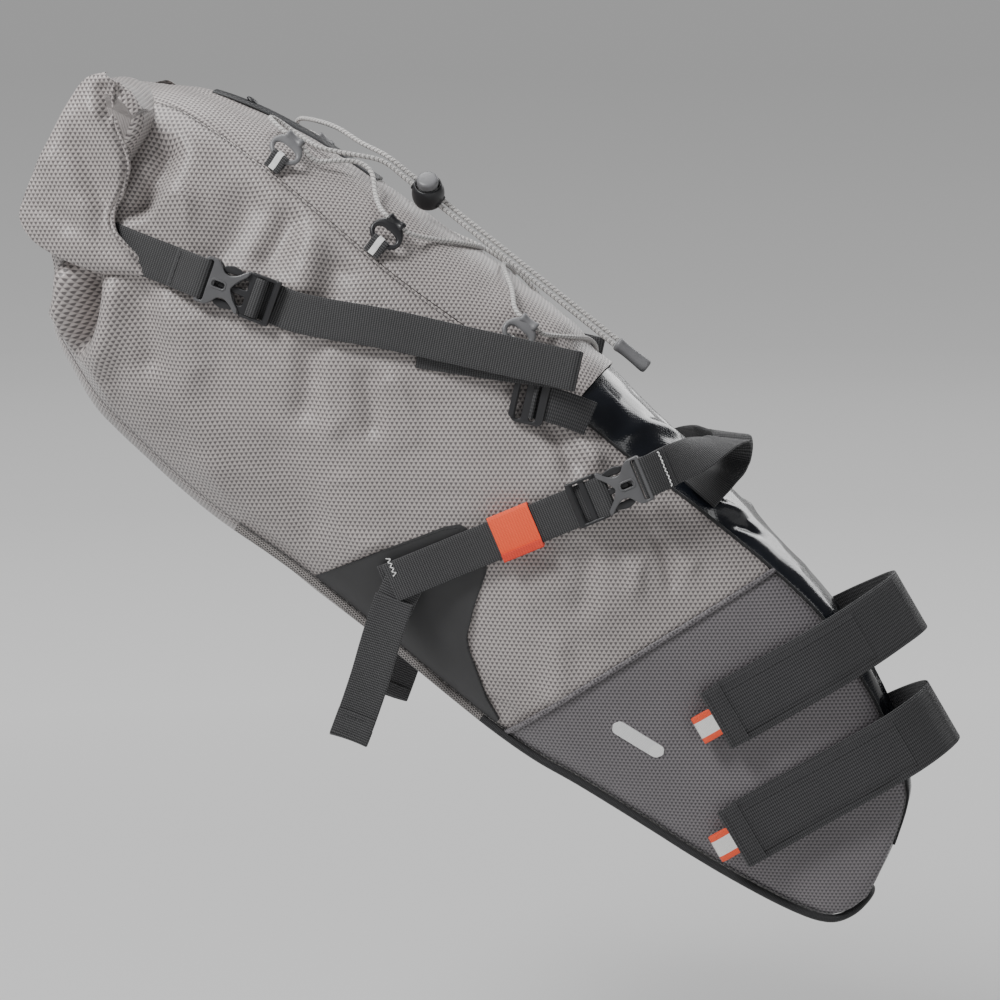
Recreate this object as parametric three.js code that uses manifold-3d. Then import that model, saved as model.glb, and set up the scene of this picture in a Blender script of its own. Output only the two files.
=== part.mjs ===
// A roll-top saddle bag that hangs behind the seatpost of a bicycle.
// Millimetres, +X forward, +Z up, -Y the rider's right. The origin lies on the face of the
// rubber pad that rests against the back of the seatpost.
import * as THREE from 'three';
import { mergeVertices } from 'three/addons/utils/BufferGeometryUtils.js';
import Module from 'manifold-3d';

const wasm = await Module();
wasm.setup();

// ---------------------------------------------------------------- driving dimensions

const LEAN = THREE.MathUtils.degToRad(39);          // the bag's long axis above the horizontal
const POST = { radius: 15.8, lean: THREE.MathUtils.degToRad(14.3), room: 4 };
const PAD = { s: 92, h: 70.7, width: 20, height: 56, thick: 3, behind: 3.4 };
const FABRIC = 2;                                    // wall thickness of every sewn panel
const SEAM = 0.5;                                    // half the gap between two sewn panels
const PATCH = 1.2;                                   // thickness of what is sewn onto a panel
const NARROW = 25;                                   // width of the buckled webbing
const WIDE = 40;                                     // width of the hook-and-loop webbing
const WEB = 1.6;                                     // thickness of one layer of webbing
const CLEAR = 0.6;                                   // air between neighbours that do not touch
const CORD = 3;                                      // diameter of the elastic cord

// The bag's sections stand square to its long axis, s mm from the nose.
// Each row: s, crown height, floor height, half width, squareness of the section.
const SECTIONS = [
  [-9, -40, -43, 27, 5],
  [-6, -24, -58, 28.5, 5],
  [0, -2, -68, 31, 5],
  [15, 32, -77, 34, 4.5],
  [57, 61, -88, 40, 4],
  [92, 76, -94, 46, 3.7],
  [127, 88, -99, 50, 3.4],
  [170, 95, -105, 58, 3],
  [230, 101, -114, 66, 2.8],
  [341, 113, -117, 77, 2.5],
  [400, 118, -119, 82, 2.5],
  [480, 112, -125, 85, 2.5],
  [560, 105, -120, 86, 2.5],
  [620, 93, -108, 82, 2.5],
  [660, 80, -90, 76, 2.6],
];
const NOSE_END = SECTIONS[0][0];
const MOUTH = SECTIONS[SECTIONS.length - 1][0];
const FRONT_PANEL_END = 332;
const TOP_SEAM = [[-9, 0.9], [127, 0.9], [170, 0.88], [230, 0.84], [301, 0.76], [422, 0.7], [559, 0.77], [660, 0.84]];
const BOTTOM_SEAM = [[-9, 0.93], [240, 0.93], [400, 0.9], [660, 0.88]];
const BOOT_SEAM = { s: 199.5, slope: -0.345 };       // where the darker nose panel ends

const COLOURS = {
  fabric: 0xa09896, boot: 0x69646a, gloss: 0x0c0e12, patch: 0x373737, webbing: 0x2c2c2e,
  orange: 0xff5f30, tab: 0xe8623a, plastic: 0x38383a, hook: 0x6d6e70, cord: 0xc4c0be, rubber: 0x1c1c1e,
};

// ---------------------------------------------------------------- the bag's own frame

const AFT = new THREE.Vector3(-Math.cos(LEAN), 0, Math.sin(LEAN));
const UP = new THREE.Vector3(Math.sin(LEAN), 0, Math.cos(LEAN));
const LEFT = new THREE.Vector3(0, 1, 0);
const NOSE = new THREE.Vector3().addScaledVector(AFT, -PAD.s).addScaledVector(UP, -PAD.h);

// A point s mm aft of the nose, y mm to the left and h mm above the long axis.
const at = (s, y, h) => NOSE.clone().addScaledVector(AFT, s).addScaledVector(LEFT, y).addScaledVector(UP, h);
const vec = (x, y, z) => new THREE.Vector3(x, y, z);
const lerp = THREE.MathUtils.lerp;

// A smooth curve through rows that start with their own station s.
function along(rows, s, column) {
  const last = rows.length - 2;
  let k = 0;
  while (k < last && s > rows[k + 1][0]) k += 1;
  const slope = (i) => {
    if (i <= 0 || i >= rows.length - 1) return (rows[Math.min(i + 1, rows.length - 1)][column]
      - rows[Math.max(i - 1, 0)][column]) / (rows[Math.min(i + 1, rows.length - 1)][0] - rows[Math.max(i - 1, 0)][0]);
    const before = (rows[i][column] - rows[i - 1][column]) / (rows[i][0] - rows[i - 1][0]);
    const after = (rows[i + 1][column] - rows[i][column]) / (rows[i + 1][0] - rows[i][0]);
    return before * after <= 0 ? 0 : (2 * before * after) / (before + after);
  };
  const span = rows[k + 1][0] - rows[k][0];
  const t = (s - rows[k][0]) / span;
  const a = rows[k][column];
  const b = rows[k + 1][column];
  const t2 = t * t;
  const t3 = t2 * t;
  return (2 * t3 - 3 * t2 + 1) * a + (t3 - 2 * t2 + t) * span * slope(k)
    + (3 * t2 - 2 * t3) * b + (t3 - t2) * span * slope(k + 1);
}

function section(s) {
  const inside = THREE.MathUtils.clamp(s, NOSE_END, MOUTH);
  const [crown, floor, half, square] = [1, 2, 3, 4].map((column) => along(SECTIONS, inside, column));
  return { mid: (crown + floor) / 2, tall: (crown - floor) / 2, half, square };
}

// The back of the seatpost, with room for it, as a trough along the front of the bag.
function trough(s, y) {
  const climb = Math.tan(Math.PI / 2 - POST.lean - LEAN);
  const radius = POST.radius + POST.room;
  if (Math.abs(y) >= radius) return Infinity;
  const stretch = Math.sqrt(1 + climb * climb);
  return PAD.h - (PAD.thick + PAD.behind) * stretch + climb * (s - PAD.s) + stretch * (radius - Math.sqrt(radius * radius - y * y));
}

// The outer skin at one station. The angle turns from the left (0) over the crown (90 degrees).
function skin(s, angle) {
  const { mid, tall, half, square } = section(s);
  const power = 2 / square;
  const y = half * Math.sign(Math.cos(angle)) * Math.abs(Math.cos(angle)) ** power;
  const h = mid + tall * Math.sign(Math.sin(angle)) * Math.abs(Math.sin(angle)) ** power;
  return at(s, y, Math.sin(angle) > 0 ? Math.min(h, trough(s, y)) : h);
}

// The skin moved outwards by lift, or inwards where lift is negative.
function lifted(s, angle, lift) {
  const step = 0.004;
  const point = skin(s, angle);
  const round = skin(s, angle + step).sub(skin(s, angle - step));
  const back = skin(s + 1, angle).sub(skin(Math.max(s - 1, NOSE_END), angle));
  const normal = round.cross(back).normalize();
  const out = point.clone().sub(at(s, 0, section(s).mid));
  if (normal.dot(out) < 0) normal.negate();
  return point.addScaledVector(normal, lift);
}

const seamAngle = (share, s) => Math.asin(share ** (section(s).square / 2));
const topSeam = (s) => seamAngle(along(TOP_SEAM, s, 1), s);
const bottomSeam = (s) => -seamAngle(along(BOTTOM_SEAM, s, 1), s);
const heightAngle = (s, h) => {
  const { mid, tall } = section(s);
  const share = THREE.MathUtils.clamp((h - mid) / tall, -0.99, 0.99);
  return Math.sign(share) * seamAngle(Math.abs(share), s);
};
const bySide = (side, angle) => (side > 0 ? angle : Math.PI - angle);

// ---------------------------------------------------------------- solids from points

function body(points, faces) {
  const shape = new THREE.BufferGeometry();
  let volume = 0;
  for (const [a, b, c] of faces) volume += points[a].dot(points[b].clone().cross(points[c]));
  const facing = volume < 0 ? faces.map(([a, b, c]) => [a, c, b]) : faces;
  shape.setAttribute('position', new THREE.Float32BufferAttribute(points.flatMap((p) => p.toArray()), 3));
  shape.setIndex(facing.flat());
  return shape;
}

// Two grids of points of the same size, one thickness apart, closed round their edges.
function slab(outer, inner) {
  const rows = outer.length;
  const columns = outer[0].length;
  const id = (layer, i, j) => (layer * rows + i) * columns + j;
  const faces = [];
  const quad = (a, b, c, d) => faces.push([a, b, c], [a, c, d]);
  for (let i = 0; i + 1 < rows; i += 1) {
    for (let j = 0; j + 1 < columns; j += 1) {
      quad(id(0, i, j), id(0, i + 1, j), id(0, i + 1, j + 1), id(0, i, j + 1));
      quad(id(1, i, j), id(1, i, j + 1), id(1, i + 1, j + 1), id(1, i + 1, j));
    }
    quad(id(0, i, 0), id(1, i, 0), id(1, i + 1, 0), id(0, i + 1, 0));
    quad(id(0, i + 1, columns - 1), id(1, i + 1, columns - 1), id(1, i, columns - 1), id(0, i, columns - 1));
  }
  for (let j = 0; j + 1 < columns; j += 1) {
    quad(id(0, 0, j + 1), id(1, 0, j + 1), id(1, 0, j), id(0, 0, j));
    quad(id(0, rows - 1, j), id(1, rows - 1, j), id(1, rows - 1, j + 1), id(0, rows - 1, j + 1));
  }
  return body([...outer.flat(), ...inner.flat()], faces);
}

// Rings of points joined in turn, with a flat cap at each end unless the last meets the first.
function loft(rings, round = false) {
  const count = rings[0].length;
  const faces = [];
  const turns = round ? rings.length : rings.length - 1;
  for (let i = 0; i < turns; i += 1) {
    const next = (i + 1) % rings.length;
    for (let j = 0; j < count; j += 1) {
      const k = (j + 1) % count;
      const [a, b, c, d] = [i * count + j, i * count + k, next * count + k, next * count + j];
      faces.push([a, b, c], [a, c, d]);
    }
  }
  if (!round) {
    const last = (rings.length - 1) * count;
    for (let j = 1; j + 1 < count; j += 1) faces.push([0, j + 1, j], [last, last + j, last + j + 1]);
  }
  return body(rings.flat(), faces);
}

// Webbing along a path of points. Each point may carry its own direction across the width.
function webbing(path, across, width, thick) {
  const rings = path.map((point, i) => {
    const run = path[Math.min(i + 1, path.length - 1)].clone().sub(path[Math.max(i - 1, 0)]).normalize();
    const wide = (Array.isArray(across) ? across[i] : across).clone();
    wide.addScaledVector(run, -wide.dot(run)).normalize().multiplyScalar(width / 2);
    const deep = wide.clone().cross(run).normalize().multiplyScalar(thick / 2);
    return [
      point.clone().add(wide).add(deep), point.clone().add(wide).sub(deep),
      point.clone().sub(wide).sub(deep), point.clone().sub(wide).add(deep),
    ];
  });
  return loft(rings);
}

// The same solid on the other side of the bag.
function acrossY(shape) {
  const flipped = shape.clone().scale(1, -1, 1);
  const corners = [...flipped.index.array];
  flipped.setIndex(corners.map((_, i) => corners[i - (i % 3) + [0, 2, 1][i % 3]]));
  return flipped;
}

// A round bar along a path; closed on itself when round is true.
function bar(path, radius, sides, round = false) {
  const count = path.length;
  let side = vec(0, 0, 1);
  const rings = path.map((point, i) => {
    const next = round ? path[(i + 1) % count] : path[Math.min(i + 1, count - 1)];
    const last = round ? path[(i + count - 1) % count] : path[Math.max(i - 1, 0)];
    const run = next.clone().sub(last).normalize();
    side = side.clone().addScaledVector(run, -side.dot(run));
    if (side.length() < 0.05) side = vec(1, 0, 0).addScaledVector(run, -run.x);
    side.normalize();
    const other = run.clone().cross(side);
    return Array.from({ length: sides }, (_, k) => {
      const turn = (2 * Math.PI * k) / sides;
      return point.clone().addScaledVector(side, radius * Math.cos(turn)).addScaledVector(other, radius * Math.sin(turn));
    });
  });
  return loft(rings, round);
}

// An outline of [along, across] pairs, extruded evenly about y = 0.
function plate(outline, holes, thick) {
  const shape = new THREE.Shape(outline.map(([x, z]) => new THREE.Vector2(x, z)));
  for (const hole of holes) shape.holes.push(new THREE.Path(hole.map(([x, z]) => new THREE.Vector2(x, z))));
  const geometry = new THREE.ExtrudeGeometry(shape, { depth: thick, bevelEnabled: false, curveSegments: 8 });
  return geometry.translate(0, 0, -thick / 2).rotateX(Math.PI / 2);
}

const box = (x0, x1, z0, z1) => [[x0, z0], [x1, z0], [x1, z1], [x0, z1]];
const mirrored = (half) => [...half, ...half.map(([x, z]) => [x, -z]).reverse()];

function solidOf(geometry) {
  const bare = geometry.clone();
  bare.deleteAttribute('normal');
  bare.deleteAttribute('uv');
  const merged = mergeVertices(bare, 1e-3);
  return new wasm.Manifold(new wasm.Mesh({
    numProp: 3,
    vertProperties: new Float32Array(merged.attributes.position.array),
    triVerts: new Uint32Array(merged.index.array),
  }));
}

function geometryOf(solid) {
  const mesh = solid.getMesh();
  const shape = new THREE.BufferGeometry();
  shape.setAttribute('position', new THREE.Float32BufferAttribute(mesh.vertProperties, 3));
  shape.setIndex([...mesh.triVerts]);
  return shape;
}

const join = (...shapes) => geometryOf(shapes.map(solidOf).reduce((whole, part) => whole.add(part)));
const cut = (shape, tool) => geometryOf(solidOf(shape).subtract(solidOf(tool)));
const common = (shape, other) => geometryOf(solidOf(shape).intersect(solidOf(other)));

// ---------------------------------------------------------------- the assembly

const bag = new THREE.Group();

function add(name, geometry, colour, roughness = 0.7, place = null) {
  const material = new THREE.MeshStandardMaterial({ color: COLOURS[colour], roughness, metalness: 0 });
  const mesh = new THREE.Mesh(geometry, material);
  mesh.name = name;
  (place ?? bag).add(mesh);
  return mesh;
}

// A place on the bag turned so that its own x axis points along a strap.
function placed(position, direction) {
  const place = new THREE.Group();
  place.position.copy(position);
  place.rotation.y = -Math.atan2(direction.z, direction.x);
  bag.add(place);
  return place;
}

const SIDES = [['right', -1], ['left', 1]];
const onSide = (side, x, y, z) => vec(x, side * y, z);

// ---------------------------------------------------------------- sewn shell

const NOSE_STEPS = 9;
const noseShares = Array.from({ length: NOSE_STEPS + 1 }, (_, i) => (i / NOSE_STEPS) ** 1.8);
const noseLevels = (end) => noseShares.map((t) => lerp(NOSE_END, end, t));
const evenLevels = (start, end, steps) => Array.from({ length: steps + 1 }, (_, i) => lerp(start, end, i / steps));

function sewn(levels, angles, lift = 0, thick = FABRIC) {
  const grid = levels.map((row, i) => row.map((s, j) => [s, angles(s, j, i)]));
  const layer = (depth) => grid.map((row) => row.map(([s, angle]) => lifted(s, angle, depth)));
  return slab(layer(lift), layer(lift - thick));
}

// The angle that keeps half a seam's gap from the angle given, on the side of sign.
function beside(s, angle, sign) {
  const step = 0.002;
  const speed = skin(s, angle + step).distanceTo(skin(s, angle - step)) / (2 * step);
  return angle + (sign * SEAM) / speed;
}

const bootSeam = (share) => {
  const s = BOOT_SEAM.s;
  const { mid, tall } = section(s);
  const low = -along(BOTTOM_SEAM, s, 1);
  const high = along(TOP_SEAM, s, 1);
  return s + BOOT_SEAM.slope * (mid + tall * lerp(low, high, share));
};

function sidePanels() {
  const columns = 9;
  for (const [name, side] of SIDES) {
    const angleAt = (s, j) => bySide(side, lerp(beside(s, bottomSeam(s), 1), beside(s, topSeam(s), -1), j / columns));
    const shares = evenLevels(0, 1, columns);
    const bodySteps = 17;
    const bodyLevels = evenLevels(0, 1, bodySteps).map((t) => shares.map((b) => lerp(bootSeam(b) + SEAM, MOUTH, t)));
    add(`side_panel_${name}`, sewn(bodyLevels, angleAt), 'fabric', 0.8);
    const bootLevels = noseShares.map((t) => shares.map((b) => lerp(NOSE_END, bootSeam(b) - SEAM, t)));
    add(`nose_panel_${name}`, sewn(bootLevels, angleAt), 'boot', 0.8);
  }
}

function topPanel() {
  const columns = 8;
  const levels = evenLevels(FRONT_PANEL_END + SEAM, MOUTH, 12).map((s) => Array(columns + 1).fill(s));
  const angleAt = (s, j) => {
    const edge = beside(s, topSeam(s), 1);
    return lerp(edge, Math.PI - edge, j / columns);
  };
  add('top_panel', sewn(levels, angleAt), 'fabric', 0.8);
}

function bottomPanel() {
  const columns = 5;
  const stations = [...noseLevels(bootSeam(0)), ...evenLevels(bootSeam(0), MOUTH, 14).slice(1)];
  const levels = stations.map((s) => Array(columns + 1).fill(s));
  const angleAt = (s, j) => {
    const edge = beside(s, bottomSeam(s), -1);
    return lerp(edge, -Math.PI - edge, j / columns);
  };
  add('bottom_panel', sewn(levels, angleAt), 'fabric', 0.8);
}

// The glossy panel under the saddle, hollowed along its middle for the seatpost.
function frontPanel() {
  const stations = [...noseLevels(bootSeam(1)), ...evenLevels(bootSeam(1), FRONT_PANEL_END - SEAM, 6).slice(1)];
  const radius = POST.radius + POST.room;
  const hollow = [90, 66, 42, 20].map((turn) => radius * Math.sin(THREE.MathUtils.degToRad(turn)));
  const columns = 13;
  const levels = stations.map((s) => Array(columns).fill(s));
  const angleAt = (s, j) => {
    const { half, square } = section(s);
    const edge = beside(s, topSeam(s), 1);
    const reach = half * Math.cos(edge) ** (2 / square);
    const from = [reach, lerp(reach, radius, 0.5), ...hollow];
    const y = j < 6 ? from[j] : (j === 6 ? 0 : -from[12 - j]);
    const turn = Math.acos(Math.min(Math.abs(y) / half, 1) ** (square / 2));
    return y >= 0 ? turn : Math.PI - turn;
  };
  add('front_panel', sewn(levels, angleAt), 'gloss', 0.15);
}

// The rubber pad whose face rests against the seatpost.
function seatpostPad() {
  const pad = new THREE.BoxGeometry(PAD.thick, PAD.width, PAD.height);
  const mesh = add('seatpost_pad', pad, 'rubber', 0.6);
  mesh.rotation.y = -POST.lean;
  const normal = vec(Math.cos(POST.lean), 0, Math.sin(POST.lean));
  mesh.position.copy(normal.multiplyScalar(-PAD.thick / 2));
}

function wingPatches() {
  const upper = [[246, -104], [292, -69], [301, -49], [339, -14], [388, -98]];
  const stations = [246, 262, 278, 292, 301, 314, 327, 339, 352, 364, 376, 388];
  const columns = 5;
  const rise = (s) => {
    const k = upper.findIndex(([edge], i) => i > 0 && s <= edge);
    return lerp(upper[k - 1][1], upper[k][1], (s - upper[k - 1][0]) / (upper[k][0] - upper[k - 1][0]));
  };
  for (const [name, side] of SIDES) {
    const levels = stations.map((s) => Array(columns + 1).fill(s));
    const angleAt = (s, j) => {
      const low = beside(s, bottomSeam(s), 6);
      return bySide(side, lerp(low, Math.max(heightAngle(s, rise(s)), beside(s, low, 6)), j / columns));
    };
    add(`wing_patch_${name}`, sewn(levels, angleAt, CLEAR + 0.4 + PATCH, PATCH), 'patch', 0.6);
  }
}

// A stiff strip sewn along the crown between the cord hooks.
function crownStrip() {
  const columns = 2;
  const levels = evenLevels(520, 640, 6).map((s) => Array(columns + 1).fill(s));
  const angleAt = (s, j) => Math.PI / 2 + lerp(-1, 1, j / columns) * 0.09;
  add('crown_strip', sewn(levels, angleAt, CLEAR + WEB, WEB), 'webbing', 0.5);
}

// Piping sewn along the lower edge, round the nose and back.
function edgePiping() {
  const radius = 1.8;
  const lift = radius + CLEAR;
  const stations = [450, 420, 390, 360, 330, 300, 270, 240, 210, 180, 150, 120, 95, 72, 52, 35, 20, 8, 0, -4, -7];
  const run = (side) => stations.map((s) => lifted(s, bySide(side, bottomSeam(s)), lift));
  const path = [...run(-1), at(NOSE_END - lift, -12, -43), at(NOSE_END - lift, 12, -43), ...run(1).reverse()];
  add('edge_piping', bar(path, radius, 6), 'rubber', 0.5);
}

// ---------------------------------------------------------------- roll closure

const ROLL_EAR = { inner: 90, outer: 96 };
const EAR = [[704, 52], [712, 44], [693, -50], [668, -58], [592, -22], [628, -4], [638, 22], [668, 38]];
const ROLL = [[666, 60], [690, 63], [704, 56], [712, 44], [704, 5], [693, -50], [680, -58], [666, -52]];

// An outline of [s, h] pairs, extruded across the bag from y0 to y1.
function prism(outline, y0, y1) {
  const shape = new THREE.Shape(outline.map(([s, h]) => new THREE.Vector2(s, h)));
  const geometry = new THREE.ExtrudeGeometry(shape, { depth: y1 - y0, bevelEnabled: false });
  const frame = new THREE.Matrix4().makeBasis(AFT, UP, LEFT).setPosition(at(0, y0, 0));
  return geometry.applyMatrix4(frame);
}

function rollClosure() {
  const roll = prism(ROLL, -ROLL_EAR.inner - 1, ROLL_EAR.inner + 1);
  const ears = [prism(EAR, -ROLL_EAR.outer, -ROLL_EAR.inner), prism(EAR, ROLL_EAR.inner, ROLL_EAR.outer)];
  add('roll_closure', join(roll, ...ears), 'fabric', 0.8);
}

// ---------------------------------------------------------------- side release buckles

const BUCKLE = { socket: 29, plug: 20, half: 14.5, prong: 3.4, thick: 8.6, waist: 9 };

// The half with the bar that its webbing is sewn round: two plates joined at that end.
function socketShape() {
  const inside = BUCKLE.prong / 2 + CLEAR;
  const outside = BUCKLE.thick / 2;
  const clip = new THREE.Shape([
    [-BUCKLE.socket, -outside], [0, -outside], [0, -inside], [-21, -inside],
    [-21, inside], [0, inside], [0, outside], [-BUCKLE.socket, outside],
  ].map(([x, y]) => new THREE.Vector2(x, y)));
  const side = new THREE.ExtrudeGeometry(clip, { depth: 2 * BUCKLE.half, bevelEnabled: false });
  side.translate(0, 0, -BUCKLE.half);
  const outline = mirrored([
    [-BUCKLE.socket, BUCKLE.half], [-20, BUCKLE.half], [-16, BUCKLE.waist], [-8, BUCKLE.waist], [-2, 13], [0, 13],
  ]);
  const slot = box(-26.5, -23.5, -NARROW / 2 - 0.3, NARROW / 2 + 0.3);
  return common(side, plate(outline, [slot], BUCKLE.thick + 2));
}

// The half with three prongs and the ladder that its webbing is threaded through.
function plugShape() {
  const outline = mirrored([
    [-18, 2.5], [1, 3], [0.6, 8], [-9, 9.5], [-17, 9], [-19, 11], [-15, 14], [-9, 13.5], [-0.2, 11.5],
    [0.4, BUCKLE.half], [BUCKLE.plug, BUCKLE.half],
  ]);
  const slots = [box(4, 8, -12.8, 12.8), box(12, 16, -12.6, 12.6)];
  return plate(outline, slots, BUCKLE.prong);
}

function buckle(name, side, position, direction) {
  const place = placed(position, direction);
  add(`${name}_socket_${side}`, socketShape(), 'plastic', 0.4, place);
  add(`${name}_plug_${side}`, plugShape(), 'plastic', 0.4, place);
}

// ---------------------------------------------------------------- roll straps

const ROLL_BUCKLE = { x: -378, y: 92, z: 232.5, drop: THREE.MathUtils.degToRad(-20) };
const ROLL_STRAP = { drop: THREE.MathUtils.degToRad(-12.4), end: [-172, 81, 185] };

function rollStraps() {
  const run = vec(Math.cos(ROLL_BUCKLE.drop), 0, Math.sin(ROLL_BUCKLE.drop));
  const wide = vec(-run.z, 0, run.x);
  const strapRun = vec(Math.cos(ROLL_STRAP.drop), 0, Math.sin(ROLL_STRAP.drop));
  const strapWide = vec(-strapRun.z, 0, strapRun.x);
  for (const [name, side] of SIDES) {
    const centre = onSide(side, ROLL_BUCKLE.x, ROLL_BUCKLE.y, ROLL_BUCKLE.z);
    buckle('roll', name, centre, run);
    // The short piece sewn into the roll, ending at the socket's bar.
    const tip = centre.clone().addScaledVector(run, -BUCKLE.socket - CLEAR);
    const root = centre.clone().addScaledVector(run, -BUCKLE.socket - 50).setY(side * 88);
    const bend = centre.clone().addScaledVector(run, -BUCKLE.socket - 20).setY(side * 89);
    add(`roll_stub_${name}`, webbing([root, bend, tip], wide, NARROW, WEB), 'webbing');
    // The adjustable piece: out past the ladder lock, round its fold and back.
    const start = centre.clone().addScaledVector(run, 2).setY(side * 88.4);
    const clear = centre.clone().addScaledVector(run, BUCKLE.plug + 6).setY(side * 87.5);
    const fold = onSide(side, ...ROLL_STRAP.end);
    const back = fold.clone().addScaledVector(strapRun, -110).addScaledVector(strapWide, -7).setY(side * 81.6);
    const path = [
      start, clear, fold.clone().addScaledVector(strapRun, -90).setY(side * 85.5),
      fold.clone().addScaledVector(strapRun, -3), fold.clone().setY(side * 79.6),
      fold.clone().addScaledVector(strapRun, -3).addScaledVector(strapWide, -1).setY(side * 78.2), back,
    ];
    const across = [wide, wide, strapWide, strapWide, strapWide, strapWide, strapWide];
    add(`roll_strap_${name}`, webbing(path, across, NARROW, WEB), 'webbing');
  }
}

// Ladder locks below the straps, each held by a short piece sewn into the top seam.
function ladderLocks() {
  const run = vec(Math.cos(ROLL_STRAP.drop), 0, Math.sin(ROLL_STRAP.drop));
  for (const [name, side] of SIDES) {
    const centre = onSide(side, -203, 75.2, 167);
    const outline = mirrored([[-10, 13], [-7, 15], [9, 15], [11, 13]]);
    const slots = [box(-7, -3, -12.8, 12.8), box(2, 6, -12.6, 12.6)];
    add(`ladder_lock_${name}`, plate(outline, slots, 3), 'plastic', 0.4, placed(centre, run));
    const start = centre.clone().addScaledVector(run, 13);
    const path = [start, onSide(side, -178, 71, 160), onSide(side, -166, 67, 155)];
    const across = [vec(-run.z, 0, run.x), vec(0.4, 0, 0.9), vec(0.5, 0, 0.85)];
    add(`anchor_webbing_${name}`, webbing(path, across, 22, WEB), 'webbing');
  }
}

// ---------------------------------------------------------------- compression and saddle straps

const CLIMB = THREE.MathUtils.degToRad(23);
const STRAP_RUN = vec(Math.cos(CLIMB), 0, Math.sin(CLIMB));
const STRAP_WIDE = vec(-Math.sin(CLIMB), 0, Math.cos(CLIMB));
const SEWN_END = [-290, 76.6, 52];
const SADDLE_BUCKLE = { x: -156.6, y: 84.6, z: 109.8 };
const KEEPER = { y: 80.2, reach: 86, length: 27, wall: 1.2, room: 0.7 };

function compressionStraps() {
  for (const [name, side] of SIDES) {
    const end = onSide(side, ...SEWN_END);
    const reach = (distance, y) => end.clone().addScaledVector(STRAP_RUN, distance).setY(side * y);
    const path = [end, reach(22, 79.6), reach(40, KEEPER.y), reach(112, KEEPER.y), reach(141, 79.6)];
    add(`compression_strap_${name}`, webbing(path, STRAP_WIDE, NARROW, 2 * WEB), 'webbing');
    const centre = onSide(side, SADDLE_BUCKLE.x, SADDLE_BUCKLE.y, SADDLE_BUCKLE.z);
    buckle('saddle', name, centre, STRAP_RUN.clone().negate());
  }
}

// Elastic sleeves that hold the strap and its loose end together.
function strapKeepers() {
  const deep = 2 * WEB + 2 * KEEPER.room;
  const hollow = NARROW + 2 * KEEPER.room;
  for (const [name, side] of SIDES) {
    const rim = (width, depth) => box(-depth / 2, depth / 2, -width / 2, width / 2);
    const sleeve = plate(rim(hollow + 2 * KEEPER.wall, deep + 2 * KEEPER.wall), [rim(hollow, deep)], KEEPER.length);
    sleeve.rotateZ(Math.PI / 2);
    const centre = onSide(side, ...SEWN_END).addScaledVector(STRAP_RUN, KEEPER.reach).setY(side * KEEPER.y);
    add(`strap_keeper_${name}`, sleeve, 'orange', 0.6, placed(centre, STRAP_RUN));
  }
}

const TAIL = { x: -287, y: 82, z: 42, length: 92, hem: 14, swing: THREE.MathUtils.degToRad(-108.5) };

// The loose end of each compression strap, hanging with a folded hem at its tip.
function strapTails() {
  const run = vec(Math.cos(TAIL.swing), 0, Math.sin(TAIL.swing));
  const wide = vec(-run.z, 0, run.x);
  for (const [name, side] of SIDES) {
    const top = onSide(side, TAIL.x, TAIL.y, TAIL.z);
    const along3 = (distance) => top.clone().addScaledVector(run, distance);
    const web = webbing([along3(0), along3(TAIL.length)], wide, NARROW, WEB);
    const hem = webbing([along3(TAIL.length - TAIL.hem), along3(TAIL.length + 1)], wide, NARROW, 2.4 * WEB);
    add(`strap_tail_${name}`, join(web, hem), 'webbing');
  }
}

// Each strap round a saddle rail: up from its buckle, over the rail and down to the top seam.
function railStraps() {
  const upright = STRAP_WIDE;
  const flat = vec(-1, 0, 0.12);
  const sewnDown = vec(-0.777, 0, 0.629);
  const route = [
    [-127.6, 83, 122.2, upright], [-117, 76, 127, upright], [-105, 62, 131.5, upright.clone().lerp(flat, 0.35)],
    [-95, 47, 136, upright.clone().lerp(flat, 0.75)], [-88, 34, 138.5, flat], [-84, 24, 139.5, flat],
    [-82, 15, 138, flat], [-81, 11, 132.5, flat], [-82, 12.5, 126, flat], [-84, 20, 121, flat],
    [-89, 32, 117, flat.clone().lerp(sewnDown, 0.4)], [-95, 42, 111.5, sewnDown], [-99, 49, 107, sewnDown],
  ];
  const right = webbing(route.map(([x, y, z]) => vec(x, -y, z)), route.map((row) => row[3]), NARROW, WEB);
  add('rail_strap_right', right, 'webbing');
  add('rail_strap_left', acrossY(right), 'webbing');
}

// ---------------------------------------------------------------- seatpost straps

const POST_CLIMB = THREE.MathUtils.degToRad(30.5);
const POST_RUN = vec(Math.cos(POST_CLIMB), 0, Math.sin(POST_CLIMB));
const POST_WIDE = vec(-Math.sin(POST_CLIMB), 0, Math.cos(POST_CLIMB));
// Each strap: its near end, then [distance along it, half width] stations to the fold.
const POST_STRAPS = [
  { name: 'upper', x: -87, z: -34, route: [[0, 58], [45, 56], [78, 52.5], [104, 41], [122, 27], [134, 15], [138.5, 5]] },
  { name: 'lower', x: -76, z: -111, route: [[0, 49], [50, 46.5], [98, 44.5], [122, 40], [139, 28], [148, 15], [151, 5]] },
];
const LAYER = WEB + CLEAR;

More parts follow.
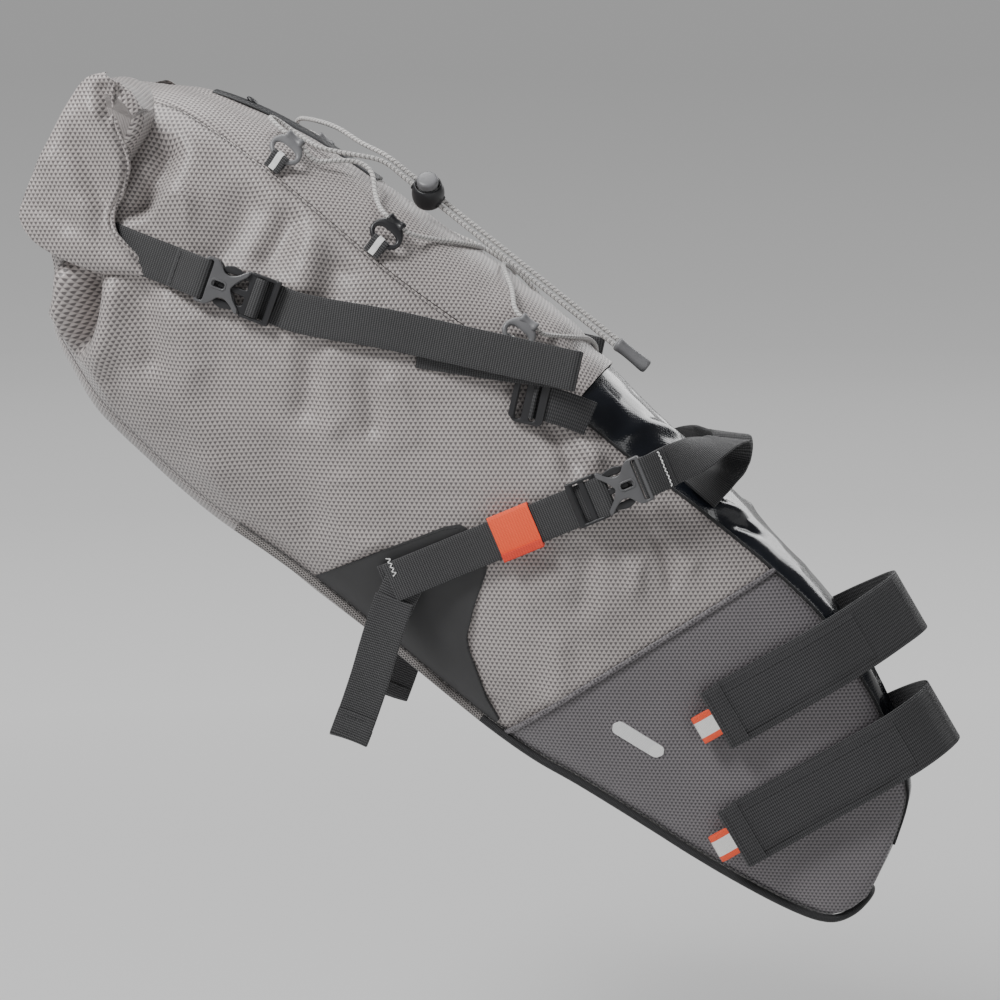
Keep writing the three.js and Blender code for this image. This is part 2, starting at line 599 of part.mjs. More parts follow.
function seatpostStraps() {
  for (const strap of POST_STRAPS) {
    const from = vec(strap.x, 0, strap.z);
    const point = (distance, y) => from.clone().addScaledVector(POST_RUN, distance).setY(y);
    // The loop round the post, under the flap on the right and sewn down on the left.
    const inner = strap.route.map(([distance, half]) => [distance + (distance ? 0 : 14), half]);
    const right = inner.map(([distance, half]) => point(distance, -half));
    const left = inner.map(([distance, half]) => point(distance, half)).reverse();
    add(`seatpost_strap_${strap.name}`, webbing([...right, ...left], POST_WIDE, WIDE, WEB), 'webbing', 0.9);
    // The flap that peels off the loop, with its pull tab.
    const flap = strap.route.slice(0, 6).map(([distance, half], i) => {
      const [next, low] = strap.route[i + 1];
      const slant = Math.atan2(half - low, next - distance);
      return point(distance + LAYER * Math.sin(slant), -half - LAYER * Math.cos(slant) - CLEAR);
    });
    add(`seatpost_flap_${strap.name}`, webbing(flap, POST_WIDE, WIDE, WEB), 'webbing', 0.9);
    const pull = [point(-13, -strap.route[0][1] - LAYER), point(-CLEAR, -strap.route[0][1] - LAYER)];
    add(`pull_tab_${strap.name}`, webbing(pull, POST_WIDE, 18, WEB), 'tab');
  }
}

// ---------------------------------------------------------------- elastic cord and its hooks

const HOOKS = [
  { name: 'right_rear', side: -1, s: 571 }, { name: 'right_middle', side: -1, s: 489 }, { name: 'right_front', side: -1, s: 387 },
  { name: 'left_rear', side: 1, s: 571 }, { name: 'left_middle', side: 1, s: 437 }, { name: 'left_front', side: 1, s: 362 },
];
const HOOK = { wide: 9.5, deep: 6.5, wire: 1.8, lift: 8, rise: 13, tunnel: 3.9, bore: 2.5, long: 12 };

// A frame on the skin beside the top seam: out of the skin, aft and up across it.
function hookFrame({ side, s }) {
  const angle = bySide(side, beside(s, topSeam(s), HOOK.rise / SEAM));
  const point = skin(s, angle);
  const out = lifted(s, angle, 1).sub(point).normalize();
  return { point, out, across: AFT.clone().cross(out).multiplyScalar(side).normalize() };
}

// Where the cord passes each hook: a short tunnel on the side nearest the crown.
const tunnelOf = ({ point, out, across }) => point.clone()
  .addScaledVector(out, HOOK.lift + 3).addScaledVector(across, -HOOK.deep - HOOK.tunnel + 1);

function cordHooks() {
  const steps = 12;
  for (const hook of HOOKS) {
    const frame = hookFrame(hook);
    const { point, out, across } = frame;
    const centre = point.clone().addScaledVector(out, HOOK.lift);
    const tilt = out.clone().multiplyScalar(0.35).addScaledVector(across, -0.94);
    const ring = Array.from({ length: steps }, (_, k) => {
      const turn = (2 * Math.PI * k) / steps;
      const side = centre.clone().addScaledVector(AFT, HOOK.wide * Math.cos(turn));
      return side.addScaledVector(tilt, HOOK.deep * Math.sin(turn));
    });
    const half = HOOK.long / 2;
    const wall = [[HOOK.bore, -half], [HOOK.tunnel, -half], [HOOK.tunnel, half], [HOOK.bore, half], [HOOK.bore, -half]];
    const tunnel = new THREE.LatheGeometry(wall.map(([r, y]) => new THREE.Vector2(r, y)), 8);
    tunnel.applyQuaternion(new THREE.Quaternion().setFromUnitVectors(LEFT, AFT));
    tunnel.translate(...tunnelOf(frame).toArray());
    add(`cord_hook_${hook.name}`, join(bar(ring, HOOK.wire, 5, true), tunnel), 'hook', 0.45);
    // The webbing tab from the seam to the hook's lower bar.
    const tabLift = CLEAR + 0.75 * WEB;
    const foot = point.clone().addScaledVector(across, 12).addScaledVector(out, tabLift);
    const head = point.clone().addScaledVector(out, tabLift);
    add(`cord_tab_${hook.name}`, webbing([foot, head], AFT, 11, 1.5 * WEB), 'webbing');
  }
}

// The tails run straight and side by side from the lock to the sleeve on their ends.
const TAILS = { from: [500, -22, 127], to: [338, -9, 128], apart: 2.4, sleeve: 25 };
const tailStart = at(...TAILS.from);
const tailEnd = at(...TAILS.to);
const tailRun = tailEnd.clone().sub(tailStart).normalize();
const LOCK_AXIS = vec(0.06, -0.62, 0.6).normalize();
const tailSide = LOCK_AXIS.clone().cross(tailRun).normalize();

// The cord between the lock and the lock again: a hook's number where it passes a hook (minus
// where it passes from front to rear), or [s, y, height over the skin].
const CORD_ROUTE = [
  [544, -32, 12], [564, -42, 6], [584, -50, 4], [595, -56, 5], 1, [556, -50, 6], [546, -42, 9], [534, -34, 13],
  [524, -36, 13], [512, -46, 8], 2, [470, -46, 5], [456, -28, 3.4], [447, -8, 3.2], [444, 18, 3.4], [450, 42, 6], 5,
  [420, 44, 7], [420, 22, 3.6], [426, 2, 3.4], [422, -18, 3.4], [410, -36, 4], 3, [372, -46, 5], [360, -26, 3.4],
  [354, 0, 3.2], [348, 26, 4], [345, 44, 7], -6, [382, 50, 8], [410, 40, 8], [440, 38, 8.5], [480, 44, 5],
  [520, 48, 5], [548, 50, 7], -4, [590, 44, 8], [592, 30, 9], [580, 14, 12], [562, -2, 16], [546, -12, 17],
];

function skinHeight(s, y) {
  const { mid, tall, half, square } = section(s);
  return mid + tall * (1 - Math.abs(y / half) ** square) ** (1 / square);
}

function cordPath() {
  const shift = tailSide.clone().multiplyScalar(TAILS.apart);
  const right = (point) => point.clone().sub(shift);
  const left = (point) => point.clone().add(shift);
  const entry = tailStart.clone().addScaledVector(tailRun, -24);
  const throat = tailStart.clone().addScaledVector(tailRun, -12);
  const middle = tailStart.clone().lerp(tailEnd, 0.5);
  const route = CORD_ROUTE.flatMap((stop) => {
    if (Array.isArray(stop)) return [at(stop[0], stop[1], skinHeight(stop[0], stop[1]) + stop[2])];
    const centre = tunnelOf(hookFrame(HOOKS[Math.abs(stop) - 1]));
    const aft = AFT.clone().multiplyScalar(Math.sign(stop) * 0.75 * HOOK.long);
    return [centre.clone().add(aft), centre, centre.clone().sub(aft)];
  });
  return [
    right(tailEnd), right(middle), right(tailStart), right(throat), right(entry), ...route,
    left(entry), left(throat), left(tailStart), left(middle), left(tailEnd),
  ];
}

function bungeeCord() {
  const steps = 80;
  const smooth = new THREE.CatmullRomCurve3(cordPath(), false, 'centripetal');
  add('bungee_cord', bar(smooth.getPoints(steps), CORD / 2, 8), 'cord', 0.8);
  const start = tailEnd.clone().addScaledVector(tailRun, CLEAR);
  const sleeve = bar([start, start.clone().addScaledVector(tailRun, TAILS.sleeve)], 4.6, 10);
  add('cord_end', sleeve, 'hook', 0.5);
}

const LOCK = { travel: 4, wall: 7.6, plunger: 6.9 };

// The lock that grips both tails: a barrel, and a sprung button that reaches down through it.
function cordLock() {
  const centre = tailStart.clone().addScaledVector(tailRun, 10);
  const turn = new THREE.Quaternion().setFromUnitVectors(LEFT, LOCK_AXIS);
  const turned = (profile) => {
    const shape = new THREE.LatheGeometry(profile.map(([r, y]) => new THREE.Vector2(r, y)), 14);
    return shape.applyQuaternion(turn).translate(...centre.toArray());
  };
  const lane = (height, rise) => {
    const middle = centre.clone().addScaledVector(LOCK_AXIS, rise);
    const ends = [-24, 24].map((reach) => middle.clone().addScaledVector(tailRun, reach));
    return webbing(ends, tailSide, 2 * TAILS.apart + CORD + 1.6, height);
  };
  const wall = LOCK.wall;
  const barrel = turned([
    [0, -9.5], [6, -9.5], [9.4, -6.5], [10.4, -1], [10.2, 4], [8.6, 7.5], [wall, 7.5], [wall, -8], [0, -8],
  ]);
  add('cord_lock_body', cut(barrel, lane(CORD + 1.6, 0)), 'rubber', 0.4);
  const plunger = turned([[0, -3.5], [LOCK.plunger, -3.5], [LOCK.plunger, 12], [6.2, 13], [0, 13.4]]);
  add('cord_lock_button', cut(plunger, lane(CORD + 2.4 + LOCK.travel, LOCK.travel / 2)), 'hook', 0.5);
}

sidePanels();
topPanel();
bottomPanel();
frontPanel();
seatpostPad();
wingPatches();
crownStrip();
edgePiping();
rollClosure();
rollStraps();
ladderLocks();
compressionStraps();
strapKeepers();
strapTails();
railStraps();
seatpostStraps();
cordHooks();
bungeeCord();
cordLock();

export default bag;
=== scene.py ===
"""The looks of a roll-top saddle bag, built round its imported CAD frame.

Shapes are worked out in millimetres in the bag's own frame (s along the bag from its nose, y to
the left, h square to both) and made in metres. The right side of the bag is at negative y.
"""
import math

import bmesh
import bpy
import numpy as np
from mathutils import Matrix, Vector


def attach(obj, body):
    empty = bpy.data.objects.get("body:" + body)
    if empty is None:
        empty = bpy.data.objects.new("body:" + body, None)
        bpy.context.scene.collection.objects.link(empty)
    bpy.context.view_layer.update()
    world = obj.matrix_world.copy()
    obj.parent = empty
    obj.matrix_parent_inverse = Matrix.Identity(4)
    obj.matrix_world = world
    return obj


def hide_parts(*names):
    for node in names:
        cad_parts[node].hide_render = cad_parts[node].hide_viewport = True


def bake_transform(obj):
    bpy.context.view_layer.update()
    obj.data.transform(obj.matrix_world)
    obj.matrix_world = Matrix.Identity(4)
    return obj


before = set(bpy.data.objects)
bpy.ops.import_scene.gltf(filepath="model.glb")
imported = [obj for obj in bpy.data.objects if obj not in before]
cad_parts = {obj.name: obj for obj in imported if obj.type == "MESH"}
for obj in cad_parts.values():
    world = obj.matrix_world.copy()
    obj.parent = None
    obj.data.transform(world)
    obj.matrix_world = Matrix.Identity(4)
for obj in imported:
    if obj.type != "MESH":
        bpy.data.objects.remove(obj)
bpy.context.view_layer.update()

MM = 0.001
SIDES = (("right", -1), ("left", 1))
LEAN = math.radians(39)                     # the bag's long axis above the horizontal
PAD = {"s": 92, "h": 70.7, "width": 20, "height": 56, "thick": 3, "behind": 3.4}
POST = {"radius": 15.8, "lean": math.radians(14.3), "room": 4}
NARROW, WIDE, WEB = 25, 40, 1.6             # widths of the two webbings, and their thickness
CLEAR, CORD = 0.6, 3                        # air between neighbours, diameter of the elastic cord
MERGE = 1e-6                                # points closer than this, in metres, are one
SHARP_FROM = math.radians(50)               # edges that turn by more are shaded sharp
MOULD_SHARP_FROM = math.radians(35)         # the same on moulded plastic


def vec(x, y, z):
    return np.array([x, y, z], float)


def unit(vector):
    return vector / np.linalg.norm(vector, axis=-1, keepdims=True)


AFT = vec(-math.cos(LEAN), 0, math.sin(LEAN))
UP = vec(math.sin(LEAN), 0, math.cos(LEAN))
LEFT = vec(0, 1, 0)
NOSE = -PAD["s"] * AFT - PAD["h"] * UP


def at(s, y, h):
    """The point s along the bag, y to the left and h above its long axis. Takes arrays too."""
    s, y, h = (np.asarray(value, float)[..., None] for value in np.broadcast_arrays(s, y, h))
    return NOSE + s * AFT + y * LEFT + h * UP


def heading(angle):
    """The direction at an angle above forward, in the plane down the middle of the bag."""
    return vec(math.cos(angle), 0, math.sin(angle))


def wide_of(run):
    """The direction across a strap that runs that way along a side of the bag."""
    return vec(-run[2], 0, run[0])


def on_side(side, x, y, z):
    return vec(x, side * y, z)


def reacher(start, run, side):
    """A function to points: distance along the run, y mm out of the middle, drop mm across."""
    return lambda distance, y, drop=0: ((start + run * distance + wide_of(run) * drop) * vec(1, 0, 1)
                                        + vec(0, side * y, 0))


def trace(spot, *stops):
    """The points that such a function gives for the stops of a path."""
    return [spot(*stop) for stop in stops]


def placed(name, data):
    """A new object in the scene that holds the data."""
    thing = bpy.data.objects.new(name, data)
    bpy.context.scene.collection.objects.link(thing)
    return thing


# ---------------------------------------------------------------- camera

CAMERA = {"aim": (-0.2306, 0, 0.0967), "azimuth": math.radians(7), "elevation": math.radians(6),
          "distance": 2.0, "sensor": 36, "lens": 111.6}


def make_camera():
    azimuth, elevation = CAMERA["azimuth"], CAMERA["elevation"]
    back = vec(math.sin(azimuth) * math.cos(elevation), -math.cos(azimuth) * math.cos(elevation),
               math.sin(elevation))
    data = bpy.data.cameras.new("camera")
    data.sensor_width, data.lens = CAMERA["sensor"], CAMERA["lens"]
    camera = placed("camera", data)
    camera.location = vec(*CAMERA["aim"]) + CAMERA["distance"] * back
    camera.rotation_mode = "QUATERNION"
    camera.rotation_quaternion = Vector(-back).to_track_quat("-Z", "Y")
    bpy.context.scene.camera = camera


make_camera()


# ---------------------------------------------------------------- the bag's sections

# s, crown height, floor height, half width, squareness. The last three rows are inside the roll.
SECTIONS = np.array([
    (-9, -40, -43, 27, 5), (-6, -24, -58, 28.5, 5), (0, -2, -68, 31, 5), (15, 32, -77, 34, 4.5),
    (57, 61, -88, 40, 4), (92, 76, -94, 46, 3.7), (127, 88, -99, 50, 3.4), (170, 95, -105, 58, 3),
    (230, 101, -114, 66, 2.8), (341, 113, -117, 77, 2.5), (400, 118, -119, 82, 2.5),
    (480, 112, -125, 85, 2.5), (560, 105, -120, 86, 2.5), (600, 98, -108, 84, 2.5),
    (622, 92, -97, 82, 2.5), (643, 84, -70, 74, 2.5), (660, 74, -56, 66, 2.6), (680, 58, -40, 60, 2.6),
], float)
NOSE_END, MOUTH = -9, 680
FRONT_PANEL_END = 332
TOP_SEAM = np.array([(-9, .9), (127, .9), (170, .88), (230, .84), (301, .76), (422, .7), (559, .77),
                     (660, .84), (690, .84)])
BOTTOM_SEAM = np.array([(-9, .93), (240, .93), (400, .9), (660, .88), (690, .88)])
BOOT_SEAM = {"s": 199.5, "slope": -0.345}


def eased(rows, s, column):
    """A smooth curve through rows that start with their own station, without overshoot."""
    x, y = rows[:, 0], rows[:, column]
    rise = np.diff(y) / np.diff(x)
    slope = np.concatenate([[rise[0]], np.zeros(len(x) - 2), [rise[-1]]])
    both = rise[:-1] * rise[1:] > 0
    slope[1:-1][both] = 2 * rise[:-1][both] * rise[1:][both] / (rise[:-1] + rise[1:])[both]
    k = np.clip(np.searchsorted(x, s, side="left") - 1, 0, len(x) - 2)
    span = x[k + 1] - x[k]
    t = (s - x[k]) / span
    return ((2 * t**3 - 3 * t**2 + 1) * y[k] + (t**3 - 2 * t**2 + t) * span * slope[k]
            + (3 * t**2 - 2 * t**3) * y[k + 1] + (t**3 - t**2) * span * slope[k + 1])


def section(s):
    """Middle height, half height, half width and squareness of the section at s."""
    s = np.clip(s, NOSE_END, MOUTH)
    crown, floor, half, square = (eased(SECTIONS, s, column) for column in (1, 2, 3, 4))
    return (crown + floor) / 2, (crown - floor) / 2, half, square


def top_share(s):
    return eased(TOP_SEAM, np.clip(s, NOSE_END, MOUTH), 1)


def low_share(s):
    return eased(BOTTOM_SEAM, np.clip(s, NOSE_END, MOUTH), 1)


def trough(s, y):
    """The height of the hollow that makes room for the seatpost."""
    climb = math.tan(math.pi / 2 - POST["lean"] - LEAN)
    radius = POST["radius"] + POST["room"]
    stretch = math.hypot(1, climb)
    reach = np.sqrt(np.clip(radius**2 - np.asarray(y, float)**2, 0, None))
    height = (PAD["h"] - (PAD["thick"] + PAD["behind"]) * stretch + climb * (s - PAD["s"])
              + stretch * (radius - reach))
    return np.where(np.abs(y) < radius, height, 1e6)


def side_skin(s, share, side):
    """The skin on one side, share of the way from the middle up to the crown (1) or floor (-1)."""
    mid, tall, half, square = section(s)
    y = half * (1 - np.abs(share)**square)**(1 / square)
    return at(s, side * y, mid + tall * share)


def over_skin(s, y, lift=0.0):
    """A height above the skin at the top of the bag, leaving the seatpost's hollow out."""
    mid, tall, half, square = section(s)
    return mid + tall * (1 - np.abs(y / half)**square)**(1 / square) + lift


def skin(s, angle):
    """The skin at an angle that turns from the left over the crown."""
    mid, tall, half, square = section(s)
    power = 2 / square
    y = half * np.sign(math.cos(angle)) * abs(math.cos(angle))**power
    h = mid + tall * np.sign(math.sin(angle)) * abs(math.sin(angle))**power
    return at(s, y, min(h, float(trough(s, y))) if math.sin(angle) > 0 else h)


def out_of(s, angle):
    """The direction straight out of the skin at one point."""
    across = skin(s, angle + 0.004) - skin(s, angle - 0.004)
    forward = skin(s + 1, angle) - skin(max(s - 1, NOSE_END), angle)
    normal = unit(np.cross(across, forward))
    outward = skin(s, angle) - at(s, 0, section(s)[0])
    return normal if normal @ outward > 0 else -normal


def seam_angle(share, s):
    return math.asin(share**(section(s)[3] / 2))


def skin_pace(s, angle):
    """How many mm of skin a radian spans at an angle."""
    return np.linalg.norm(skin(s, angle + 0.002) - skin(s, angle - 0.002)) / 0.004


def on_hand(angle, side):
    """The angle that stands on that side of the bag for an angle on the left."""
    return angle if side > 0 else math.pi - angle


# ---------------------------------------------------------------- paths

def smooth(points, step, per_span=24):
    """Points about step apart on a centripetal Catmull-Rom curve through the points given."""
    points = np.asarray(points, float)
    points = np.concatenate([[2 * points[0] - points[1]], points, [2 * points[-1] - points[-2]]])
    dense = []
    for p0, p1, p2, p3 in zip(points, points[1:], points[2:], points[3:]):
        t0 = 0
        t1 = t0 + max(np.linalg.norm(p1 - p0), 1e-6)**0.5
        t2 = t1 + max(np.linalg.norm(p2 - p1), 1e-6)**0.5
        t3 = t2 + max(np.linalg.norm(p3 - p2), 1e-6)**0.5
        t = np.linspace(t1, t2, per_span, endpoint=False)[:, None]
        a1 = (t1 - t) / (t1 - t0) * p0 + (t - t0) / (t1 - t0) * p1
        a2 = (t2 - t) / (t2 - t1) * p1 + (t - t1) / (t2 - t1) * p2
        a3 = (t3 - t) / (t3 - t2) * p2 + (t - t2) / (t3 - t2) * p3
        b1 = (t2 - t) / (t2 - t0) * a1 + (t - t0) / (t2 - t0) * a2
        b2 = (t3 - t) / (t3 - t1) * a2 + (t - t1) / (t3 - t1) * a3
        dense.append((t2 - t) / (t2 - t1) * b1 + (t - t1) / (t2 - t1) * b2)
    return spaced(np.concatenate(dense + [points[-2:-1]]), step)


def lengths(line):
    return np.concatenate([[0], np.cumsum(np.linalg.norm(np.diff(line, axis=0), axis=1))])


def spaced(line, step):
    along = lengths(line)
    places = np.linspace(0, along[-1], max(2, int(round(along[-1] / step)) + 1))
    return np.stack([np.interp(places, along, line[:, k]) for k in range(line.shape[1])], axis=1)


def runs(line):
    """The direction of a line at each of its points."""
    return unit(np.gradient(line, axis=0))


def wheel(steps):
    """Angles evenly round one turn."""
    return 2 * np.pi * np.arange(steps) / steps


def spokes(turn, one, other):
    """Directions at the angles given, from one towards the other."""
    return np.cos(turn)[:, None] * one + np.sin(turn)[:, None] * other


def box(x0, x1, y0, y1):
    """The outline of an upright rectangle."""
    return [(x0, y0), (x1, y0), (x1, y1), (x0, y1)]


# ---------------------------------------------------------------- meshes

def make(name, points, faces, uvs):
    """A mesh object from points in mm, faces of point numbers and one uv pair for each point."""
    mesh = bpy.data.meshes.new(name)
    mesh.from_pydata((np.asarray(points) * MM).tolist(), [], faces)
    if uvs is not None:
        layer = mesh.uv_layers.new(name="UVMap")
        corner = np.zeros(len(mesh.loops), np.int32)
        mesh.loops.foreach_get("vertex_index", corner)
        layer.data.foreach_set("uv", (np.asarray(uvs)[corner] * MM).astype(np.float32).ravel())
    mesh.validate()
    mesh.shade_smooth()
    mesh.set_sharp_from_angle(angle=SHARP_FROM)
    return placed(name, mesh)


def face_out(piece, merge=None):
    """Turns the faces of a closed mesh outwards, after joining points closer than merge."""
    shape = bmesh.new()
    shape.from_mesh(piece.data)
    if merge:
        bmesh.ops.remove_doubles(shape, verts=shape.verts, dist=merge)
    bmesh.ops.recalc_face_normals(shape, faces=shape.faces)
    shape.to_mesh(piece.data)
    shape.free()
    return piece


def dress(piece, body, slot, materials, *nodes):
    """Gives a piece its material or materials, body and the CAD nodes it stands for. The slot is not used."""
    piece.data.materials.clear()
    for material in materials if isinstance(materials, list) else [materials]:
        piece.data.materials.append(material)
    if body is not None:
        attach(piece, body)
    if nodes:
        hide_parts(*nodes)
    return piece


def second_material(piece, chosen):
    """Gives the second material to the faces at the stations s that are chosen."""
    for face in piece.data.polygons:
        face.material_index = int(chosen((np.array(face.center) / MM - NOSE) @ AFT))


def sew(name, lines, body, slot, thread, *size):
    """Rows of thread. The size is a stitch's pitch, the share of it that shows and the radius."""
    return dress(stitches(name, lines, *size), body, slot, thread)


def join(name, *pieces):
    """Joins pieces into the first, which takes the name."""
    chosen = list(pieces)
    with bpy.context.temp_override(active_object=chosen[0], object=chosen[0], selected_objects=chosen,
                                   selected_editable_objects=chosen):
        bpy.ops.object.join()
    chosen[0].name = name
    chosen[0].data.name = name
    return chosen[0]


def quads(rows, columns, first=0, around=False):
    """Faces of a grid of points numbered row by row."""
    turns = columns if around else columns - 1
    i, j = np.meshgrid(np.arange(rows - 1), np.arange(turns), indexing="ij")
    k = (j + 1) % columns
    corners = [i * columns + j, i * columns + k, (i + 1) * columns + k, (i + 1) * columns + j]
    return (np.stack([c.ravel() for c in corners], axis=1) + first).tolist()


def grid_normals(points):
    return unit(np.cross(np.gradient(points, axis=1), np.gradient(points, axis=0)))


def slab(name, outer, inner, uv):
    """A sheet between two grids of points of one size, closed round its edges."""
    rows, columns = outer.shape[:2]
    count = rows * columns
    faces = quads(rows, columns) + [face[::-1] for face in quads(rows, columns, count)]
    number = np.arange(count).reshape(rows, columns)
    rim = np.concatenate([number[:, 0], number[-1, 1:], number[-2::-1, -1], number[0, -2:0:-1]]).tolist()
    faces += [[a, b, b + count, a + count] for a, b in zip(rim, rim[1:] + rim[:1])]
    points = np.concatenate([outer.reshape(-1, 3), inner.reshape(-1, 3)])
    uvs = np.concatenate([uv.reshape(-1, 2)] * 2)
    return face_out(make(name, points, faces, uvs))


def loft(name, rings, uvs, around=False):
    """Rings of points joined in turn and capped, or joined on themselves."""
    rings = np.asarray(rings)
    rows, columns = rings.shape[:2]
    faces = quads(rows, columns, around=True)
    if around:
        last = (rows - 1) * columns
        faces += [[last + j, last + (j + 1) % columns, (j + 1) % columns, j] for j in range(columns)]
    else:
        faces += [list(range(columns))[::-1], [(rows - 1) * columns + j for j in range(columns)]]
    return face_out(make(name, rings.reshape(-1, 3), faces, np.asarray(uvs).reshape(-1, 2)))


def distances(points, axis):
    """How far each point of a grid lies along its row or column, in mm."""
    steps = np.linalg.norm(np.diff(points, axis=axis), axis=2)
    return np.insert(np.cumsum(steps, axis=axis), 0, 0, axis=axis)


def grid_uv(points):
    """Distances in mm down the columns and along the rows, from the middle, of a grid of points."""
    down, over = distances(points, 0), distances(points, 1)
    return np.stack([down, over - over.mean(axis=1, keepdims=True)], axis=2)


def strap(name, path, across, width, thick, step=1.6, ripple=0.0, curl=0.0):
    """Webbing along a path, with rounded edges. across is one direction or one for each point."""
    line = smooth(path, step)
    across = np.asarray(across, float)
    if across.ndim == 1:
        wide = np.repeat(across[None], len(line), axis=0)
    else:
        stations = lengths(np.asarray(path, float))
        places = np.linspace(0, stations[-1], len(line))
        wide = np.stack([np.interp(places, stations, across[:, k]) for k in range(3)], axis=1)
    run = runs(line)
    wide = unit(wide - (wide * run).sum(axis=1, keepdims=True) * run)
    deep = np.cross(wide, run)
    along = lengths(line)
    if ripple:
        line = line + deep * (ripple * np.sin(along / 17 + 1) * np.sin(along / 41))[:, None]
    edge = min(thick / 2, 0.7)
    flat = np.linspace(-width / 2 + edge, width / 2 - edge, 9)
    turn = np.radians([0, 30, 60])
    right = [(width / 2 - edge + edge * math.cos(a), thick / 2 - edge + edge * math.sin(a)) for a in turn]
    top = right + [(x, thick / 2) for x in flat[::-1]] + [(-x, z) for x, z in right[::-1]]
    outline = np.array(top + [(x, -z) for x, z in top[::-1]])
    lift = curl * (outline[:, 0] / (width / 2))**2
    rings = (line[:, None] + outline[None, :, :1] * wide[:, None]
             + (outline[None, :, 1:] + lift[None, :, None]) * deep[:, None])
    uv = np.stack(np.broadcast_arrays(outline[None, :, 0], along[:, None]), axis=2)
    return loft(name, rings, uv)


def tube(name, line, radius, sides=10, flat=1.0, normal=None):
    """A round tube along a line; flat scales it along the normals given."""
    run = runs(line)
    side = np.cross(run[0], vec(0.3, 0.2, 1)) if normal is None else None
    turn, along = wheel(sides), lengths(line)
    rings, uv = [], []
    for i, point in enumerate(line):
        if normal is None:
            side = unit(side - (side @ run[i]) * run[i])
        else:
            side = unit(normal[i] - (normal[i] @ run[i]) * run[i])
        other = np.cross(run[i], side)
        rings.append(point + radius * spokes(turn, flat * side, other))
        uv.append(np.stack([np.abs(turn - np.pi) * radius, np.full(sides, along[i])], axis=1))
    return loft(name, rings, uv)


def stitches(name, lines, pitch=3.2, share=0.68, radius=0.32):
    """Rows of thread: a short bead for each stitch along each line."""
    points, faces = [], []
    turn, profile = wheel(5), [(0, 0.25), (0.2, 0.95), (0.8, 0.95), (1, 0.25)]
    for line in lines:
        line = spaced(np.asarray(line, float), pitch)
        for a, b in zip(line, line[1:]):
            run = unit(b - a)
            side = unit(np.cross(run, vec(0.31, 0.54, 0.78)))
            other = np.cross(run, side)
            first, sides, last = len(points), len(turn), (len(profile) - 1) * len(turn)
            for t, wide in profile:
                points.extend(a + (b - a) * share * t + radius * wide * spokes(turn, side, other))
            faces += quads(len(profile), sides, first, around=True)
            faces += [[first + k for k in range(sides)][::-1], [first + last + k for k in range(sides)]]
    return face_out(make(name, points, faces, None))


def rounded(outline, radius, steps=5):
    """An outline of [x, y] pairs with each corner rounded off."""
    outline = np.asarray(outline, float)
    made = []
    for last, corner, following in zip(np.roll(outline, 1, axis=0), outline, np.roll(outline, -1, axis=0)):
        before, after = last - corner, following - corner
        reach = min(radius, 0.45 * np.linalg.norm(before), 0.45 * np.linalg.norm(after))
        start, end = corner + unit(before) * reach, corner + unit(after) * reach
        for t in np.linspace(0, 1, steps):
            made.append((1 - t)**2 * start + 2 * t * (1 - t) * corner + t**2 * end)
    return np.array(made)


def mirrored(half):
    return list(half) + [(x, -y) for x, y in half[::-1]]


def moulded(name, outlines, low, high, bevel, basis, radius=1.0):
    """A moulded plate: an outline and its holes, from low to high, with rounded edges, in a basis."""
    curve = bpy.data.curves.new(name, "CURVE")
    curve.dimensions, curve.fill_mode = "2D", "BOTH"
    curve.extrude = (high - low) / 2 - bevel
    curve.bevel_depth, curve.bevel_resolution, curve.offset = bevel, 2, -bevel
    for outline in outlines:
        points = rounded(outline, radius)
        spline = curve.splines.new("POLY")
        spline.points.add(len(points) - 1)
        spline.points.foreach_set("co", np.c_[points, np.zeros(len(points)), np.ones(len(points))].ravel())
        spline.use_cyclic_u = True
    holder = bpy.data.objects.new(name, curve)
    mesh = bpy.data.meshes.new_from_object(holder)
    bpy.data.objects.remove(holder)
    mesh.transform(Matrix.Scale(MM, 4) @ Matrix(basis) @ Matrix.Translation((0, 0, (low + high) / 2)))
    piece = face_out(placed(name, mesh), MERGE)
    mesh.shade_smooth()
    mesh.set_sharp_from_angle(angle=MOULD_SHARP_FROM)
    return piece


def basis_of(position, direction, side):
    """x along a strap, y across it and z out of that side of the bag, as a 4 x 4 in mm."""
    x = unit(direction)
    matrix = np.identity(4)
    matrix[:3] = np.stack([x, wide_of(x), vec(0, side, 0), position], axis=1)
    return matrix.tolist()


def lathe(name, profile, centre, axis, steps=40):
    """A turned solid: [radius, height] pairs from the axis back to the axis."""
    axis = unit(axis)
    side = unit(np.cross(axis, vec(0.2, 1, 0.1)))
    other = np.cross(axis, side)
    turn = wheel(steps)
    spoke = spokes(turn, side, other)
    profile = smooth(profile, 0.5, 6)
    rings = [centre + axis * h + max(r, 0.02) * spoke for r, h in profile]
    uv = [np.stack([turn * 8, np.full(steps, h)], axis=1) for _, h in profile]
    return loft(name, rings, uv)


# ---------------------------------------------------------------- material nodes

